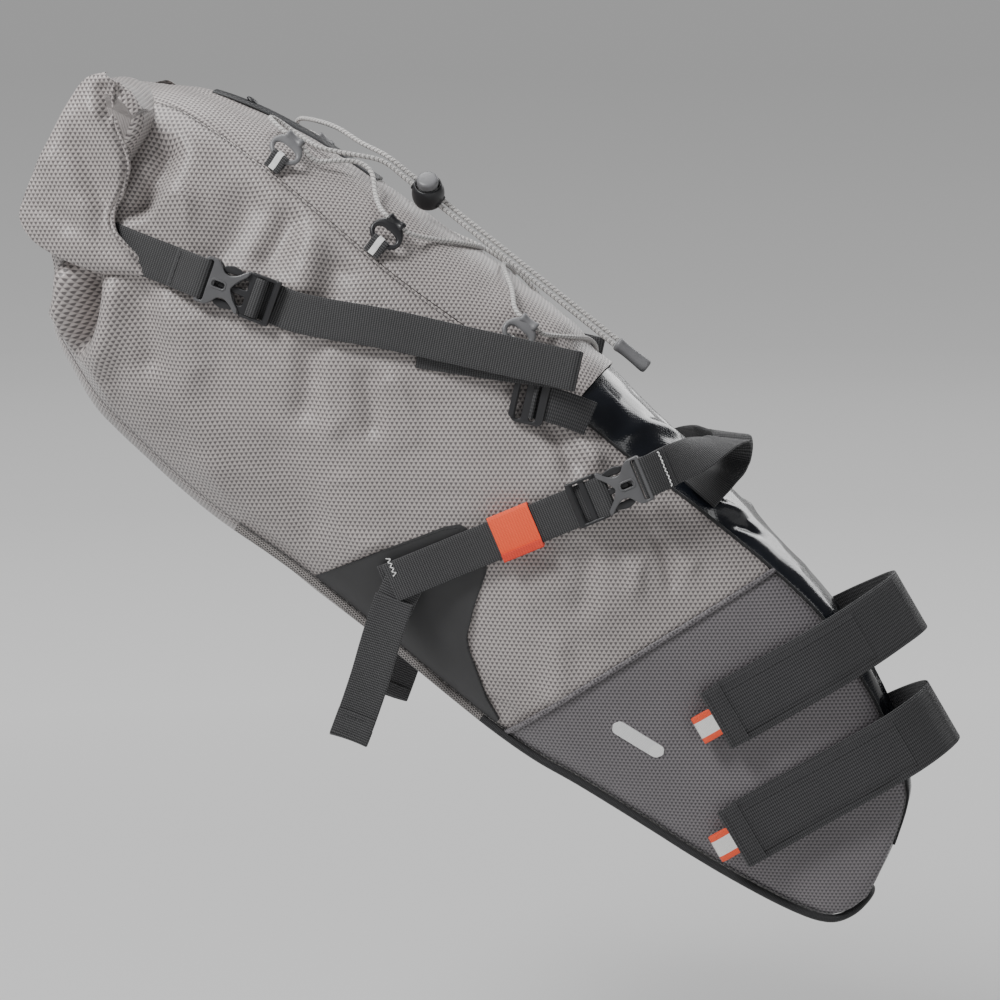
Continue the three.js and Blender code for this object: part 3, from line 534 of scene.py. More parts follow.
class Finish:
    """One procedural material, built node by node from the UV map, which is in metres."""

    def __init__(self, name, **sockets):
        self.material = bpy.data.materials.new(name)
        self.material.use_nodes = True
        self.tree = self.material.node_tree
        self.shader = self.tree.nodes["Principled BSDF"]
        for key, value in sockets.items():
            self.shader.inputs[key.replace("_", " ")].default_value = value

    def node(self, kind, inputs=(), **settings):
        made = self.tree.nodes.new("ShaderNode" + kind)
        for key, value in settings.items():
            setattr(made, key, value)
        for socket, value in inputs:
            self.feed(made.inputs[socket], value)
        return made.outputs[0]

    def feed(self, socket, value):
        if isinstance(value, bpy.types.NodeSocket):
            self.tree.links.new(value, socket)
        else:
            socket.default_value = value

    def math(self, operation, a, b=0.0):
        return self.node("Math", ((0, a), (1, b)), operation=operation)

    def mix(self, one, one_share, other, other_share):
        return self.math("ADD", self.math("MULTIPLY", one, one_share),
                         self.math("MULTIPLY", other, other_share))

    def uv(self):
        return self.node("UVMap", uv_map="UVMap")

    def place(self):
        return self.tree.nodes.new("ShaderNodeTexCoord").outputs["Object"]

    def noise(self, where, scale, detail=3.0):
        return self.node("TexNoise", (("Vector", where), ("Scale", scale), ("Detail", detail)))

    def wave(self, where, direction, pitch):
        """A sine across the uv map: 1 at crests, -1 between them."""
        turns = 2 * math.pi / pitch
        dot = self.tree.nodes.new("ShaderNodeVectorMath")
        dot.operation = "DOT_PRODUCT"
        self.feed(dot.inputs[0], where)
        dot.inputs[1].default_value = (turns * direction[0], turns * direction[1], 0)
        return self.math("SINE", dot.outputs["Value"])

    def spread(self, value, low, high, start=0.0, end=1.0):
        return self.node("MapRange", (("Value", value), ("From Min", low), ("From Max", high),
                                      ("To Min", start), ("To Max", end)))

    def colour(self, share, *stops):
        """A colour ramp through (position, (r, g, b)) stops into the base colour."""
        ramp = self.tree.nodes.new("ShaderNodeValToRGB")
        while len(ramp.color_ramp.elements) < len(stops):
            ramp.color_ramp.elements.new(0.5)
        for element, (position, value) in zip(ramp.color_ramp.elements, stops):
            element.position, element.color = position, (*value, 1)
        self.feed(ramp.inputs[0], share)
        return ramp.outputs[0]

    def shade(self, colour, by, low, high):
        """The colour darkened or lightened by a value from 0 to 1."""
        share = self.spread(by, 0, 1, low, high)
        grey = self.node("CombineXYZ", ((0, share), (1, share), (2, share)))
        mixed = self.node("Mix", ((0, 1.0), (6, colour), (7, grey)), data_type="RGBA",
                          blend_type="MULTIPLY")
        return mixed.node.outputs[2]

    def paint(self, colour):
        self.feed(self.shader.inputs["Base Color"], colour)
        return self

    def rough(self, value, low, high):
        self.feed(self.shader.inputs["Roughness"], self.spread(value, 0, 1, low, high))
        return self

    def bump(self, *layers):
        """Stacks of (height, depth in metres) bumps."""
        normal = None
        for height, depth in layers:
            inputs = [("Height", height), ("Distance", depth), ("Strength", 1.0)]
            if normal is not None:
                inputs.append(("Normal", normal))
            normal = self.node("Bump", inputs)
        self.tree.links.new(normal, self.shader.inputs["Normal"])
        return self


WEAVE_TILT = -39                            # degrees: the rows of the weave against the uv map


def turned(degrees):
    return math.cos(math.radians(degrees)), math.sin(math.radians(degrees))


def scaled(colour, by):
    return tuple(by * part for part in colour)


def triangles(finish, uv, pitch):
    """Rows of small triangles: three waves a third of a turn apart, from 0 in the dips to 1."""
    spacing = pitch * math.cos(math.radians(30))
    waves = [finish.wave(uv, turned(WEAVE_TILT + turn), spacing) for turn in (90, 210, 330)]
    total = finish.math("ADD", finish.math("ADD", waves[0], waves[1]), waves[2])
    return finish.spread(total, -1.7, 1.9)


def coated_fabric(name, dark, light, pitch, depth, rough):
    finish = Finish(name, Sheen_Weight=0.25, Sheen_Roughness=0.45, Specular_IOR_Level=0.42)
    uv = finish.uv()
    place = finish.place()
    cells = triangles(finish, uv, pitch * MM)
    fibre = finish.noise(uv, 2600, 2)
    # painted sheen and shade: random cloudy patches that lighten and darken the fabric's colour
    painted_sheen_cloud = finish.noise(place, 9, 3)
    base = finish.colour(cells, (0.22, dark), (0.62, light))
    base = finish.shade(finish.shade(base, painted_sheen_cloud, 0.66, 1.3), fibre, 0.8, 1.18)
    finish.paint(base).rough(cells, rough + 0.12, rough)
    finish.bump((cells, depth * MM), (fibre, 0.05 * MM))
    return finish.material


def webbing(name, dark, light, rib=1.5, weft=1.1, rough=0.62):
    finish = Finish(name, Sheen_Weight=0.2, Sheen_Roughness=0.4)
    uv = finish.uv()
    ribs = finish.spread(finish.wave(uv, (0, 1), rib * MM), -1, 1)
    columns = finish.spread(finish.wave(uv, (1, 0), weft * MM), -1, 1)
    fuzz = finish.noise(uv, 1500, 3)
    height = finish.mix(ribs, 0.62, columns, 0.38)
    base = finish.colour(height, (0.2, dark), (0.95, light))
    base = finish.shade(base, fuzz, 0.65, 1.3)
    finish.paint(finish.shade(base, finish.noise(finish.place(), 22), 0.8, 1.15))
    finish.rough(fuzz, rough - 0.06, rough + 0.14)
    finish.bump((height, 0.28 * MM), (fuzz, 0.12 * MM))
    return finish.material


def plastic(name, base, rough, grain=0.02):
    finish = Finish(name, Specular_IOR_Level=0.5)
    place = finish.place()
    fine, broad = finish.noise(place, 5200, 2), finish.noise(place, 60, 4)
    colour = finish.colour(broad, (0.3, scaled(base, 0.86)), (0.75, scaled(base, 1.12)))
    finish.paint(finish.shade(colour, fine, 0.92, 1.06)).rough(broad, rough - 0.05, rough + 0.09)
    finish.bump((fine, grain * MM))
    return finish.material


def rubberised(name, base, rough, grain):
    finish = Finish(name, Specular_IOR_Level=0.4)
    place = finish.place()
    fine, broad = finish.noise(place, 1900, 4), finish.noise(place, 28, 4)
    colour = finish.colour(broad, (0.3, scaled(base, 0.8)), (0.72, scaled(base, 1.2)))
    finish.paint(finish.shade(colour, fine, 0.85, 1.15)).rough(broad, rough - 0.08, rough + 0.08)
    finish.bump((fine, grain * MM), (broad, 0.3 * MM))
    return finish.material


def tarpaulin(name):
    finish = Finish(name, Specular_IOR_Level=0.6, Coat_Weight=0.5, Coat_Roughness=0.07)
    uv = finish.uv()
    cells = triangles(finish, uv, 1.9 * MM)
    broad = finish.noise(finish.place(), 34, 5)
    finish.paint(finish.colour(broad, (0.3, (0.004, 0.005, 0.008)), (0.8, (0.012, 0.014, 0.019))))
    finish.rough(broad, 0.1, 0.3).bump((cells, 0.05 * MM), (broad, 1.6 * MM))
    return finish.material


def braid(name):
    """Light elastic cord: crossing strands with dark flecks that run round it."""
    finish = Finish(name, Sheen_Weight=0.3, Roughness=0.75)
    uv = finish.uv()
    one = finish.wave(uv, (0.8, 0.6), 1.7 * MM)
    other = finish.wave(uv, (-0.8, 0.6), 1.7 * MM)
    strands = finish.spread(finish.math("MULTIPLY", one, other), -1, 1)
    flecks = finish.spread(finish.wave(uv, (0.55, 0.83), 2.5 * MM), 0.2, 0.7)
    base = finish.colour(strands, (0.1, (0.4, 0.39, 0.38)), (0.7, (0.74, 0.72, 0.7)))
    finish.paint(finish.shade(base, flecks, 1.0, 0.42)).bump((strands, 0.3 * MM))
    return finish.material


def elastic_band(name, dark, light):
    finish = Finish(name, Sheen_Weight=0.3, Roughness=0.6)
    uv = finish.uv()
    ribs = finish.spread(finish.wave(uv, (1, 0), 0.95 * MM), -1, 1)
    rows = finish.spread(finish.wave(uv, (0, 1), 1.7 * MM), -1, 1)
    height = finish.mix(ribs, 0.6, rows, 0.4)
    base = finish.colour(height, (0.1, dark), (0.85, light))
    finish.paint(finish.shade(base, finish.noise(uv, 900), 0.84, 1.12)).bump((height, 0.2 * MM))
    return finish.material


def banded_tape(name, edge, middle, half):
    """Tape with a reflective middle of that half width between two coloured edges."""
    finish = Finish(name, Roughness=0.45)
    uv = finish.uv()
    off = finish.math("ABSOLUTE", finish.node("SeparateXYZ", ((0, uv),)))
    inside = finish.spread(off, (half - 0.25) * MM, (half + 0.25) * MM, 1, 0)
    ribs = finish.spread(finish.wave(uv, (0, 1), 0.9 * MM), -1, 1)
    beads = finish.noise(uv, 3200, 1)
    base = finish.colour(inside, (0.3, edge), (0.7, middle))
    finish.paint(finish.shade(finish.shade(base, ribs, 0.86, 1.04), beads, 0.9, 1.08))
    finish.bump((ribs, 0.12 * MM), (beads, 0.04 * MM))
    return finish.material


SHELL = coated_fabric("shell_fabric", (0.125, 0.112, 0.112), (0.47, 0.43, 0.415), 2.9, 0.26, 0.33)
BOOT = coated_fabric("nose_fabric", (0.06, 0.055, 0.06), (0.2, 0.186, 0.195), 2.5, 0.2, 0.36)
EDGING = coated_fabric("edge_weave", (0.025, 0.023, 0.023), (0.3, 0.28, 0.27), 1.8, 0.2, 0.6)
WEBBING = webbing("black_webbing", (0.005, 0.005, 0.006), (0.078, 0.078, 0.08))
HOOK_LOOP = webbing("hook_and_loop_webbing", (0.005, 0.005, 0.006), (0.068, 0.068, 0.071), 1.35, 2.2, 0.68)
GLOSS = tarpaulin("gloss_tarpaulin")
PATCH = rubberised("patch_rubber", (0.036, 0.036, 0.037), 0.5, 0.05)
RUBBER = rubberised("pad_rubber", (0.012, 0.012, 0.013), 0.6, 0.12)
BINDING = webbing("binding_tape", (0.004, 0.004, 0.005), (0.03, 0.03, 0.032), 1.0, 1.0)
BUCKLE_GREY = plastic("buckle_grey", (0.1, 0.1, 0.104), 0.3)
BUCKLE_BLACK = plastic("buckle_black", (0.018, 0.018, 0.02), 0.36)
HOOK_GREY = plastic("hook_grey", (0.17, 0.17, 0.176), 0.38)
LOCK_BLACK = plastic("lock_black", (0.014, 0.014, 0.016), 0.36)
BRAID = braid("elastic_braid")
ORANGE = elastic_band("orange_elastic", (0.9, 0.05, 0.006), (1.0, 0.115, 0.022))
ORANGE_LAP = elastic_band("orange_lap", (0.6, 0.02, 0.003), (0.8, 0.05, 0.01))
PULL = banded_tape("pull_tape", (0.85, 0.09, 0.03), (0.78, 0.77, 0.75), 5.2)
STRIPE = banded_tape("reflective_stripe", (0.8, 0.8, 0.8), (0.86, 0.86, 0.85), 9)
THREAD_DARK = plastic("thread_dark", (0.03, 0.03, 0.032), 0.6, 0.1)
THREAD_GREY = plastic("thread_grey", (0.12, 0.115, 0.115), 0.6, 0.1)
THREAD_WHITE = plastic("thread_white", (0.85, 0.85, 0.84), 0.55, 0.1)
THREAD_RED = plastic("thread_red", (0.5, 0.03, 0.015), 0.6, 0.1)
STRIP_COAT = plastic("strip_coat", (0.035, 0.036, 0.038), 0.4)


# ---------------------------------------------------------------- elastic cord, its lock and sleeve

HOOKS = [
    ("right_rear", -1, 571), ("right_middle", -1, 489), ("right_front", -1, 387),
    ("left_rear", 1, 571), ("left_middle", 1, 437), ("left_front", 1, 362),
]
HOOK = {"wide": 9.5, "deep": 6.5, "lift": 8, "rise": 13, "tunnel": 3.9, "bore": 2.5, "long": 12}
TAILS = {"from": (500, -22, 127), "to": (338, -9, 128), "apart": 2.4, "sleeve": 25}
LOCK_AXIS = unit(vec(0.06, -0.62, 0.6))
TAIL_START, TAIL_END = at(*TAILS["from"]), at(*TAILS["to"])
TAIL_RUN = unit(TAIL_END - TAIL_START)
TAIL_SIDE = unit(np.cross(LOCK_AXIS, TAIL_RUN))
CORD_STEP, CORD_PASSES = 1.2, 26            # mm between its points, rounds of smoothing of its bends
# A hook's number where the cord passes it (minus from front to rear), or s, y, lift over the skin.
CORD_ROUTE = [
    (544, -32, 12), (560, -36, 7), (578, -31, 5), (591, -34, 8), (596, -45, 13), 1, (556, -50, 6),
    (546, -42, 9), (534, -34, 13), (524, -36, 13), (512, -46, 8), 2, (470, -46, 5), (456, -28, 3.4),
    (447, -8, 3.2), (444, 18, 3.4), (450, 42, 6), 5, (420, 44, 7), (420, 22, 3.6), (426, 2, 3.4),
    (422, -18, 3.4), (410, -36, 4), 3, (372, -46, 5), (360, -26, 3.4), (354, 0, 3.2), (348, 26, 4),
    (345, 44, 7), -6, (382, 50, 8), (410, 40, 8), (440, 38, 8.5), (480, 44, 5), (520, 48, 5),
    (548, 50, 7), -4, (590, 44, 8), (592, 30, 9), (580, 14, 12), (562, -2, 16), (546, -12, 17),
]


def hook_frame(side, s):
    """A point on the skin beside the top seam, the way out of it and the way down across it."""
    angle = seam_angle(top_share(s), s)
    angle = on_hand(angle + HOOK["rise"] / skin_pace(s, angle), side)
    out = out_of(s, angle)
    return skin(s, angle), out, unit(side * np.cross(AFT, out))


def tunnel_of(point, out, across):
    return point + (HOOK["lift"] + 3) * out - (HOOK["deep"] + HOOK["tunnel"] - 1) * across


def cord_points():
    shift = TAIL_SIDE * TAILS["apart"]
    tail = [TAIL_END, (TAIL_START + TAIL_END) / 2] + [TAIL_START - d * TAIL_RUN for d in (0, 12, 24)]
    route = []
    for stop in CORD_ROUTE:
        if isinstance(stop, tuple):
            s, y, lift = stop
            route.append(at(s, y, over_skin(s, y, lift)))
            continue
        _, side, s = HOOKS[abs(stop) - 1]
        centre = tunnel_of(*hook_frame(side, s))
        aft = AFT * math.copysign(0.75 * HOOK["long"], stop)
        route += [centre + aft, centre, centre - aft]
    return [p - shift for p in tail] + route + [p + shift for p in tail[::-1]]


def elastic_cord():
    line = smooth(cord_points(), CORD_STEP)
    for _ in range(CORD_PASSES):
        line[1:-1] = 0.25 * line[:-2] + 0.5 * line[1:-1] + 0.25 * line[2:]
    line = spaced(line, CORD_STEP)
    piece = tube("elastic_cord", line, CORD / 2, 12)
    dress(piece, "root", "elastic_cord", BRAID, "bungee_cord")
    length = TAILS["sleeve"]
    profile = [(0, 0), (3.2, 0), (4.2, 0.5), (4.6, 2.0), (4.3, 4.0), (4.1, 8), (4.3, 16), (4.6, 21),
               (4.5, length - 1.6), (3.7, length - 0.2), (0, length)]
    sleeve = lathe("cord_sleeve", profile, TAIL_END + CLEAR * TAIL_RUN, TAIL_RUN)
    dress(sleeve, "root", "hook_plastic", HOOK_GREY, "cord_end")
    round(float(lengths(line)[-1]) * MM, 3)


def cord_lock():
    """A barrel with a collar where each tail goes in and out, and the button over its well."""
    centre = TAIL_START + 10 * TAIL_RUN
    body = lathe("lock_barrel", [(0, -9.5), (4, -9.5), (6.4, -9.2), (8.8, -7.4), (10.0, -4.2), (10.4, -1),
                                 (10.3, 2.2), (9.8, 5.0), (8.9, 7.0), (8.3, 7.6), (7.6, 7.3), (7.4, 4.0),
                                 (3, 3.0), (0, 3.0)], centre, LOCK_AXIS, 56)
    collars = []
    for end, hand in ((-1, -1), (-1, 1), (1, -1), (1, 1)):
        mouth = centre + TAIL_RUN * end * 9.7 + TAIL_SIDE * hand * TAILS["apart"] * 1.1
        collars.append(lathe("collar", [(0, -0.8), (2.3, -0.8), (2.7, 0), (2.3, 0.9), (0, 0.8)], mouth,
                             TAIL_RUN * end, 20))
    dress(join("lock_barrel", body, *collars), "cord_lock", "lock_rubber", LOCK_BLACK, "cord_lock_body")
    button = lathe("lock_button_cap", [(0, 7.7), (6.6, 7.7), (6.9, 8.1), (6.9, 9.4), (6.9, 11.2),
                                       (6.6, 12.2), (5.8, 12.8), (4.4, 13.1), (2, 13.3), (0, 13.35)],
                   centre, LOCK_AXIS, 48)
    dress(button, "lock_button", "hook_plastic", HOOK_GREY, "cord_lock_button")


elastic_cord()
cord_lock()


# ---------------------------------------------------------------- cord hooks

def hook_hoop(centre, out, tilt):
    """A flattened ring in the plane of the bag's axis and tilt, broad where the tab holds it."""
    steps = 48
    turn = np.linspace(0, 2 * np.pi, steps + 1)[:-1]
    plate = np.clip(np.sin(turn), 0, 1)[:, None]**2
    ring = (centre + AFT * (HOOK["wide"] * np.cos(turn))[:, None]
            + tilt * (HOOK["deep"] * np.sin(turn))[:, None] + out * 1.2 * plate)
    band, normal = [], unit(np.cross(AFT, tilt))
    for k, place in enumerate(ring):
        run = unit(ring[(k + 1) % steps] - ring[k - 1])
        wide, thick = 1.7 + 2.2 * plate[k, 0], 1.55 - 0.3 * plate[k, 0]
        band.append(place + spokes(wheel(12), wide * np.cross(run, normal), thick * normal))
    uv = [np.stack([np.arange(12.0), np.full(12, k)], axis=1) for k in range(steps)]
    return loft("hoop", band, uv, around=True)


def hook_tunnel(mouth, out, across):
    """The tube that the cord runs through, with a lip at both ends."""
    half, bore, wall = HOOK["long"] / 2, HOOK["bore"] - 0.3, HOOK["tunnel"]
    profile = smooth([(bore, 0), (bore, -half + 2), (bore + 0.9, -half), (wall, -half + 0.9),
                      (wall - 0.7, -2), (wall - 0.9, 0), (wall - 0.7, 2), (wall, half - 0.9),
                      (bore + 0.9, half), (bore, half - 2), (bore, 0)], 0.7, 6)[:-1]
    spoke = spokes(wheel(20), out, across)
    rings = np.stack([mouth + AFT * h + r * spoke for r, h in profile])
    return loft("tunnel", rings, np.zeros((len(profile), len(spoke), 2)), around=True)


def cord_hooks():
    """Moulded hooks, each in a webbing tab with a reflective stripe."""
    route = [(14, 1.3), (11, 3.1), (8.4, 6.6), (6.4, 8.3), (4.0, 7.6), (3.4, 5.2), (5.0, 2.6), (7.5, 1.2)]
    for name, side, s in HOOKS:
        point, out, across = hook_frame(side, s)
        hoop = hook_hoop(point + HOOK["lift"] * out, out, 0.35 * out - 0.94 * across)
        tunnel = hook_tunnel(tunnel_of(point, out, across), out, across)
        colour = BUCKLE_BLACK if name.endswith("middle") else HOOK_GREY
        dress(join(f"hook_{name}", hoop, tunnel), "root", "hook_plastic", colour, f"cord_hook_{name}")
        path = [point + a * across + b * out for a, b in route]
        tab = strap(f"hook_tab_{name}", path, AFT, 11, 1.5, 0.8)
        dress(tab, "root", "webbing", WEBBING, f"cord_tab_{name}")
        raised = [point + (a + 0.35 * min(1, a / 8)) * across + (b + 0.95) * out for a, b in route[:4]]
        raised.append(point + 3.4 * across + 8.7 * out)
        dress(strap(f"hook_stripe_{name}", raised, AFT, 4, 0.35, 0.8), "root", "webbing", STRIPE)


cord_hooks()


# ---------------------------------------------------------------- folds in the fabric

def fold(s, h, start, end, width, depth):
    """A ridge, or a crease where depth is negative, that fades out at both ends."""
    ds, dh = end[0] - start[0], end[1] - start[1]
    long = math.hypot(ds, dh)
    along = ((s - start[0]) * ds + (h - start[1]) * dh) / long**2
    off = ((s - start[0]) * dh - (h - start[1]) * ds) / long
    bow = off - 0.06 * long * np.sin(np.pi * np.clip(along, 0, 1))
    fade = np.exp(-(np.clip(np.abs(along - 0.5) - 0.3, 0, None) / 0.17)**2)
    return depth * fade * np.exp(-(bow / width)**2)


def folded(s, h, rows):
    """The relief that all the folds of a table make together."""
    return sum(fold(s, h, *row) for row in rows)


def patchy(s, h, scale, seed):
    """Smooth random relief from -1 to 1, the same every time."""
    table = np.random.RandomState(seed).uniform(-1, 1, (64, 64))
    x, y = s / scale + 20, h / scale + 20
    i, j = np.floor(x).astype(int), np.floor(y).astype(int)
    u, v = x - i, y - j
    u, v = u * u * (3 - 2 * u), v * v * (3 - 2 * v)
    pick = lambda a, b: table[a % 64, b % 64]
    return ((1 - u) * (1 - v) * pick(i, j) + u * (1 - v) * pick(i + 1, j)
            + (1 - u) * v * pick(i, j + 1) + u * v * pick(i + 1, j + 1))


# Start, end, half width, height of each fold on a panel: creases are negative.
SIDE_FOLDS = [
    ((618, -36), (596, -92), 6, -7.5), ((632, -42), (612, -96), 7, 5.5), ((604, -30), (578, -90), 9, 4.5),
    ((646, -50), (640, -96), 6, -4.5), ((590, -24), (548, -70), 10, -3.2), ((574, -22), (520, -50), 12, 2.8),
    ((606, 40), (596, -8), 13, 4.5), ((632, 58), (618, 4), 9, -6), ((572, 66), (556, 8), 13, -3.2),
    ((545, 76), (536, 28), 9, -3.8), ((528, 72), (506, 30), 12, 3.4), ((505, 66), (486, 24), 11, -2.6),
    ((486, 18), (456, -30), 9, -2.8), ((470, 20), (434, -26), 8, 2.4), ((447, 26), (416, -10), 7, -2.4),
    ((432, 30), (398, -2), 8, 2.2), ((352, 86), (292, 66), 7, 4.2), ((340, 96), (280, 84), 6, -3.6),
    ((356, 74), (300, 50), 7, -3.2), ((330, 60), (268, 30), 10, 2.0), ((250, 70), (206, 50), 6, 3.0),
    ((244, 58), (210, 34), 5, -2.4), ((262, 50), (226, 18), 6, 2.4), ((280, 30), (244, -14), 8, -1.8),
    ((420, -40), (366, -70), 12, 1.8), ((470, -50), (400, -84), 13, -1.6), ((540, -60), (470, -96), 14, 2.0),
    ((250, -30), (222, -70), 8, 1.5), ((560, 20), (500, -6), 16, 2.2), ((620, -84), (560, -104), 9, 2.4),
]
TOP_FOLDS = [((650, -20), (600, -26), 8, -2.5), ((655, 30), (590, 22), 9, -2.2),
             ((420, -60), (395, 40), 12, -1.5), ((372, -50), (352, 50), 9, 1.6),
             ((350, -56), (338, 40), 7, -1.6)]
FRONT_FOLDS = [
    ((300, -60), (250, 20), 6, 3.0), ((272, -52), (236, 10), 5, -2.4), ((232, -56), (205, -20), 5, 3.4),
    ((214, -50), (190, -22), 4, -2.8), ((240, 56), (200, 20), 6, 3.2), ((300, 50), (262, 10), 6, -2.4),
    ((180, -46), (120, -36), 4, 2.2), ((180, 46), (120, 36), 4, 2.2),
]

# The lines of the straps that hold the sides down: start and end, and how far the fabric may rise.
HELD = [((612, -4), (535, 6), 0.2), ((535, 6), (341, 8), 0.6), ((387, 8), (352, -6), 0.2),
        ((415, -62), (230, 70), 0.4), ((236, 64), (178, 104), 0.4)]


def distance_to(s, h, start, end):
    ds, dh = end[0] - start[0], end[1] - start[1]
    t = np.clip(((s - start[0]) * ds + (h - start[1]) * dh) / (ds * ds + dh * dh), 0, 1)
    return np.hypot(s - start[0] - t * ds, h - start[1] - t * dh)


def patch_outline(s):
    """The height of the wing patch's upper edge at each station."""
    rows = np.array([(243, -101), (258, -94), (286, -75), (292, -69), (301, -49), (308, -28), (314, -20),
                     (335, -14), (340, -15), (346, -22), (367, -59), (391, -104)], float)
    return np.interp(s, rows[:, 0], rows[:, 1])


def side_relief(s, h, seed):
    """How far the fabric of a side stands out of its smooth form."""
    total = 1.9 * patchy(s, h, 62, seed) + 1.2 * patchy(s + 0.6 * h, h - 0.4 * s, 30, seed + 1)
    total += 0.5 * patchy(s + h, 1.4 * h, 13, seed + 2) + 2.0 * folded(s, h, SIDE_FOLDS)
    total *= np.clip((s - 175) / 60, 0.12, 1)
    for start, end, rise in HELD:
        total = np.minimum(total, rise + 0.35 * np.clip(distance_to(s, h, start, end) - 13, 0, None))
    return np.minimum(total, 0.35 * np.clip(h - patch_outline(s), 0, None))


def top_relief(s, y, seed):
    return 0.9 * patchy(s, y, 46, seed) + 0.5 * patchy(s, y, 22, seed + 1) + folded(s, y, TOP_FOLDS)


FABRIC_DEEP = 1.3                           # thickness of a sewn panel
SIDE_COLUMNS = 110                          # points across a side panel, from seam to seam
SEAM_ENDS, SEAM_STEP = 655, 2.0             # where the long stitches reach the roll, mm between points
BOOT_FLOOR, TAPE_ENDS = 30, 252             # stations where the floor's nose and the black binding end
BODY_BLEND = {"start": tuple(at(596, 0, 0) * MM), "end": tuple(at(686, 0, 0) * MM)}


def seam_dip(distance, depth=0.9, reach=2.6):
    """How the fabric sinks towards a seam."""
    return -depth * np.exp(-(distance / reach)**2)


def panel(name, points, relief, slot, material, node, blended=True, flat=False):
    """A sewn panel from a grid of points on the skin, with relief given at each point.

    Its weave runs along its own length, or with flat along the length of the bag.
    """
    normal = grid_normals(points)
    s = heights(points)[0]
    middle = at(s, 0, section(s)[0])
    normal *= np.sign(((points - middle) * normal).sum(axis=2).mean())
    outer = points + normal * relief[..., None]
    uv = np.stack(heights(points), axis=2) if flat else grid_uv(points)
    piece = slab(name, outer, outer - normal * FABRIC_DEEP, uv)
    dress(piece, None if blended else "root", slot, material, node)
    if blended:
        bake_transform(piece)
    return piece


def edge_distance(points):
    """Distance in mm to the nearer long edge of a panel, at each of its points."""
    over = distances(points, 1)
    return np.minimum(over, over[:, -1:] - over)


def calm(points, reach):
    """0 along a panel's long edges, rising to 1 at reach mm from them."""
    return np.clip(edge_distance(points) / reach, 0, 1)


def side_normals(points, side):
    """The ways out of that side of the bag over a grid of points."""
    normal = grid_normals(points)
    return normal * np.sign((normal * vec(0, side, 0)).sum(axis=2).mean())


def heights(points):
    """The stations s and the heights h of points."""
    return (points - NOSE) @ AFT, (points - NOSE) @ UP


def graded(seam, end, fine, coarse):
    """Stations that start close together at the nose, run up to a seam and evenly on to the end."""
    nose = NOSE_END + (seam - NOSE_END) * np.linspace(0, 1, fine)**1.8
    return np.concatenate([nose, np.linspace(seam, end, coarse)[1:]])


def boot_seam(share):
    """Where the nose panel ends, from the bottom seam (0) up to the top seam (1)."""
    s = BOOT_SEAM["s"]
    mid, tall, _, _ = section(s)
    height = mid + tall * (-low_share(s) + share * (low_share(s) + top_share(s)))
    return s + BOOT_SEAM["slope"] * height


def side_grid(t, side, start, end):
    """A grid on one side of the bag, at the shares t of the way from one seam line to another."""
    share = np.linspace(0, 1, SIDE_COLUMNS)[None, :]
    s = start(share) + t[:, None] * (end(share) - start(share))
    gap = 0.22 / section(s)[1]
    return side_skin(s, (-low_share(s) + gap) + share * (low_share(s) + top_share(s) - 2 * gap), side)


def side_panels():
    for k, (name, side) in enumerate(SIDES):
        points = side_grid(np.linspace(0, 1, 250), side, lambda b: boot_seam(b) + 0.4, lambda b: MOUTH)
        s, h = heights(points)
        rise = calm(points, 22)
        relief = side_relief(s, h, 11 + 30 * k) * (rise * rise * (3 - 2 * rise))
        past_boot = s - boot_seam(0.5) - BOOT_SEAM["slope"] * (h + 9)
        relief += seam_dip(edge_distance(points)) + seam_dip(past_boot, 0.8, 2.5)
        panel(f"side_{name}", points, relief, "shell_fabric", SHELL, f"side_panel_{name}", flat=True)
        easing = np.linspace(0, 1, 110)**1.6
        points = side_grid(easing, side, lambda b: NOSE_END, lambda b: boot_seam(b) - 0.4)
        s, h = heights(points)
        relief = 0.55 * patchy(s, h, 50, 5 + k) * calm(points, 20)
        relief += seam_dip(edge_distance(points), 0.7) + 0.25 * patchy(s, h, 18, 9 + k)
        panel(f"nose_{name}", points, relief, "nose_fabric", BOOT, f"nose_panel_{name}", blended=False,
              flat=True)


def across_grid(s, share, top, columns):
    """A grid across the top or the floor of the bag, between its two seams, with its s and y."""
    s = s[:, None]
    mid, tall, half, square = section(s)
    reach = half * (1 - share(s)**square)**(1 / square) - 0.2
    y = np.linspace(-1, 1, columns)[None, :] * reach
    height = tall * (1 - np.abs(y / half)**square)**(1 / square)
    h = np.minimum(mid + height, trough(s, y)) if top else mid - height
    s = s + 0 * y
    return at(s, y, h), s, y


def top_panel():
    stations = np.linspace(FRONT_PANEL_END + 0.4, MOUTH, 190)
    points, s, y = across_grid(stations, top_share, True, 80)
    dome = 2.2 * (1 - (y / y.max(axis=1, keepdims=True))**2)
    relief = dome + top_relief(s, y, 71) * calm(points, 14) + seam_dip(edge_distance(points))
    panel("top", points, relief, "shell_fabric", SHELL, "top_panel")


def bottom_panel():
    points, s, y = across_grid(graded(boot_seam(0), MOUTH, 40, 170), low_share, False, 64)
    relief = (0.9 * patchy(s, y, 55, 91) + 0.4 * patchy(s, y, 24, 92)) * calm(points, 18)
    relief += seam_dip(edge_distance(points))
    piece = panel("bottom", points, relief, "shell_fabric", [SHELL, BOOT], "bottom_panel")
    second_material(piece, lambda station: station < BOOT_FLOOR)


def front_panel():
    stations = graded(boot_seam(1), FRONT_PANEL_END - 0.4, 60, 110)
    points, s, y = across_grid(stations, top_share, True, 100)
    relief = 1.2 * patchy(s, 1.5 * y, 30, 41) + 0.6 * patchy(s, y, 14, 42) + folded(s, y, FRONT_FOLDS)
    hollow = np.clip((np.abs(y) - 17) / 12, 0, 1)
    relief *= np.where((s > 40) & (s < 150), hollow, 1) * calm(points, 12)
    relief += seam_dip(edge_distance(points), 0.8)
    panel("front", points, relief, "gloss_tarpaulin", GLOSS, "front_panel", blended=False)


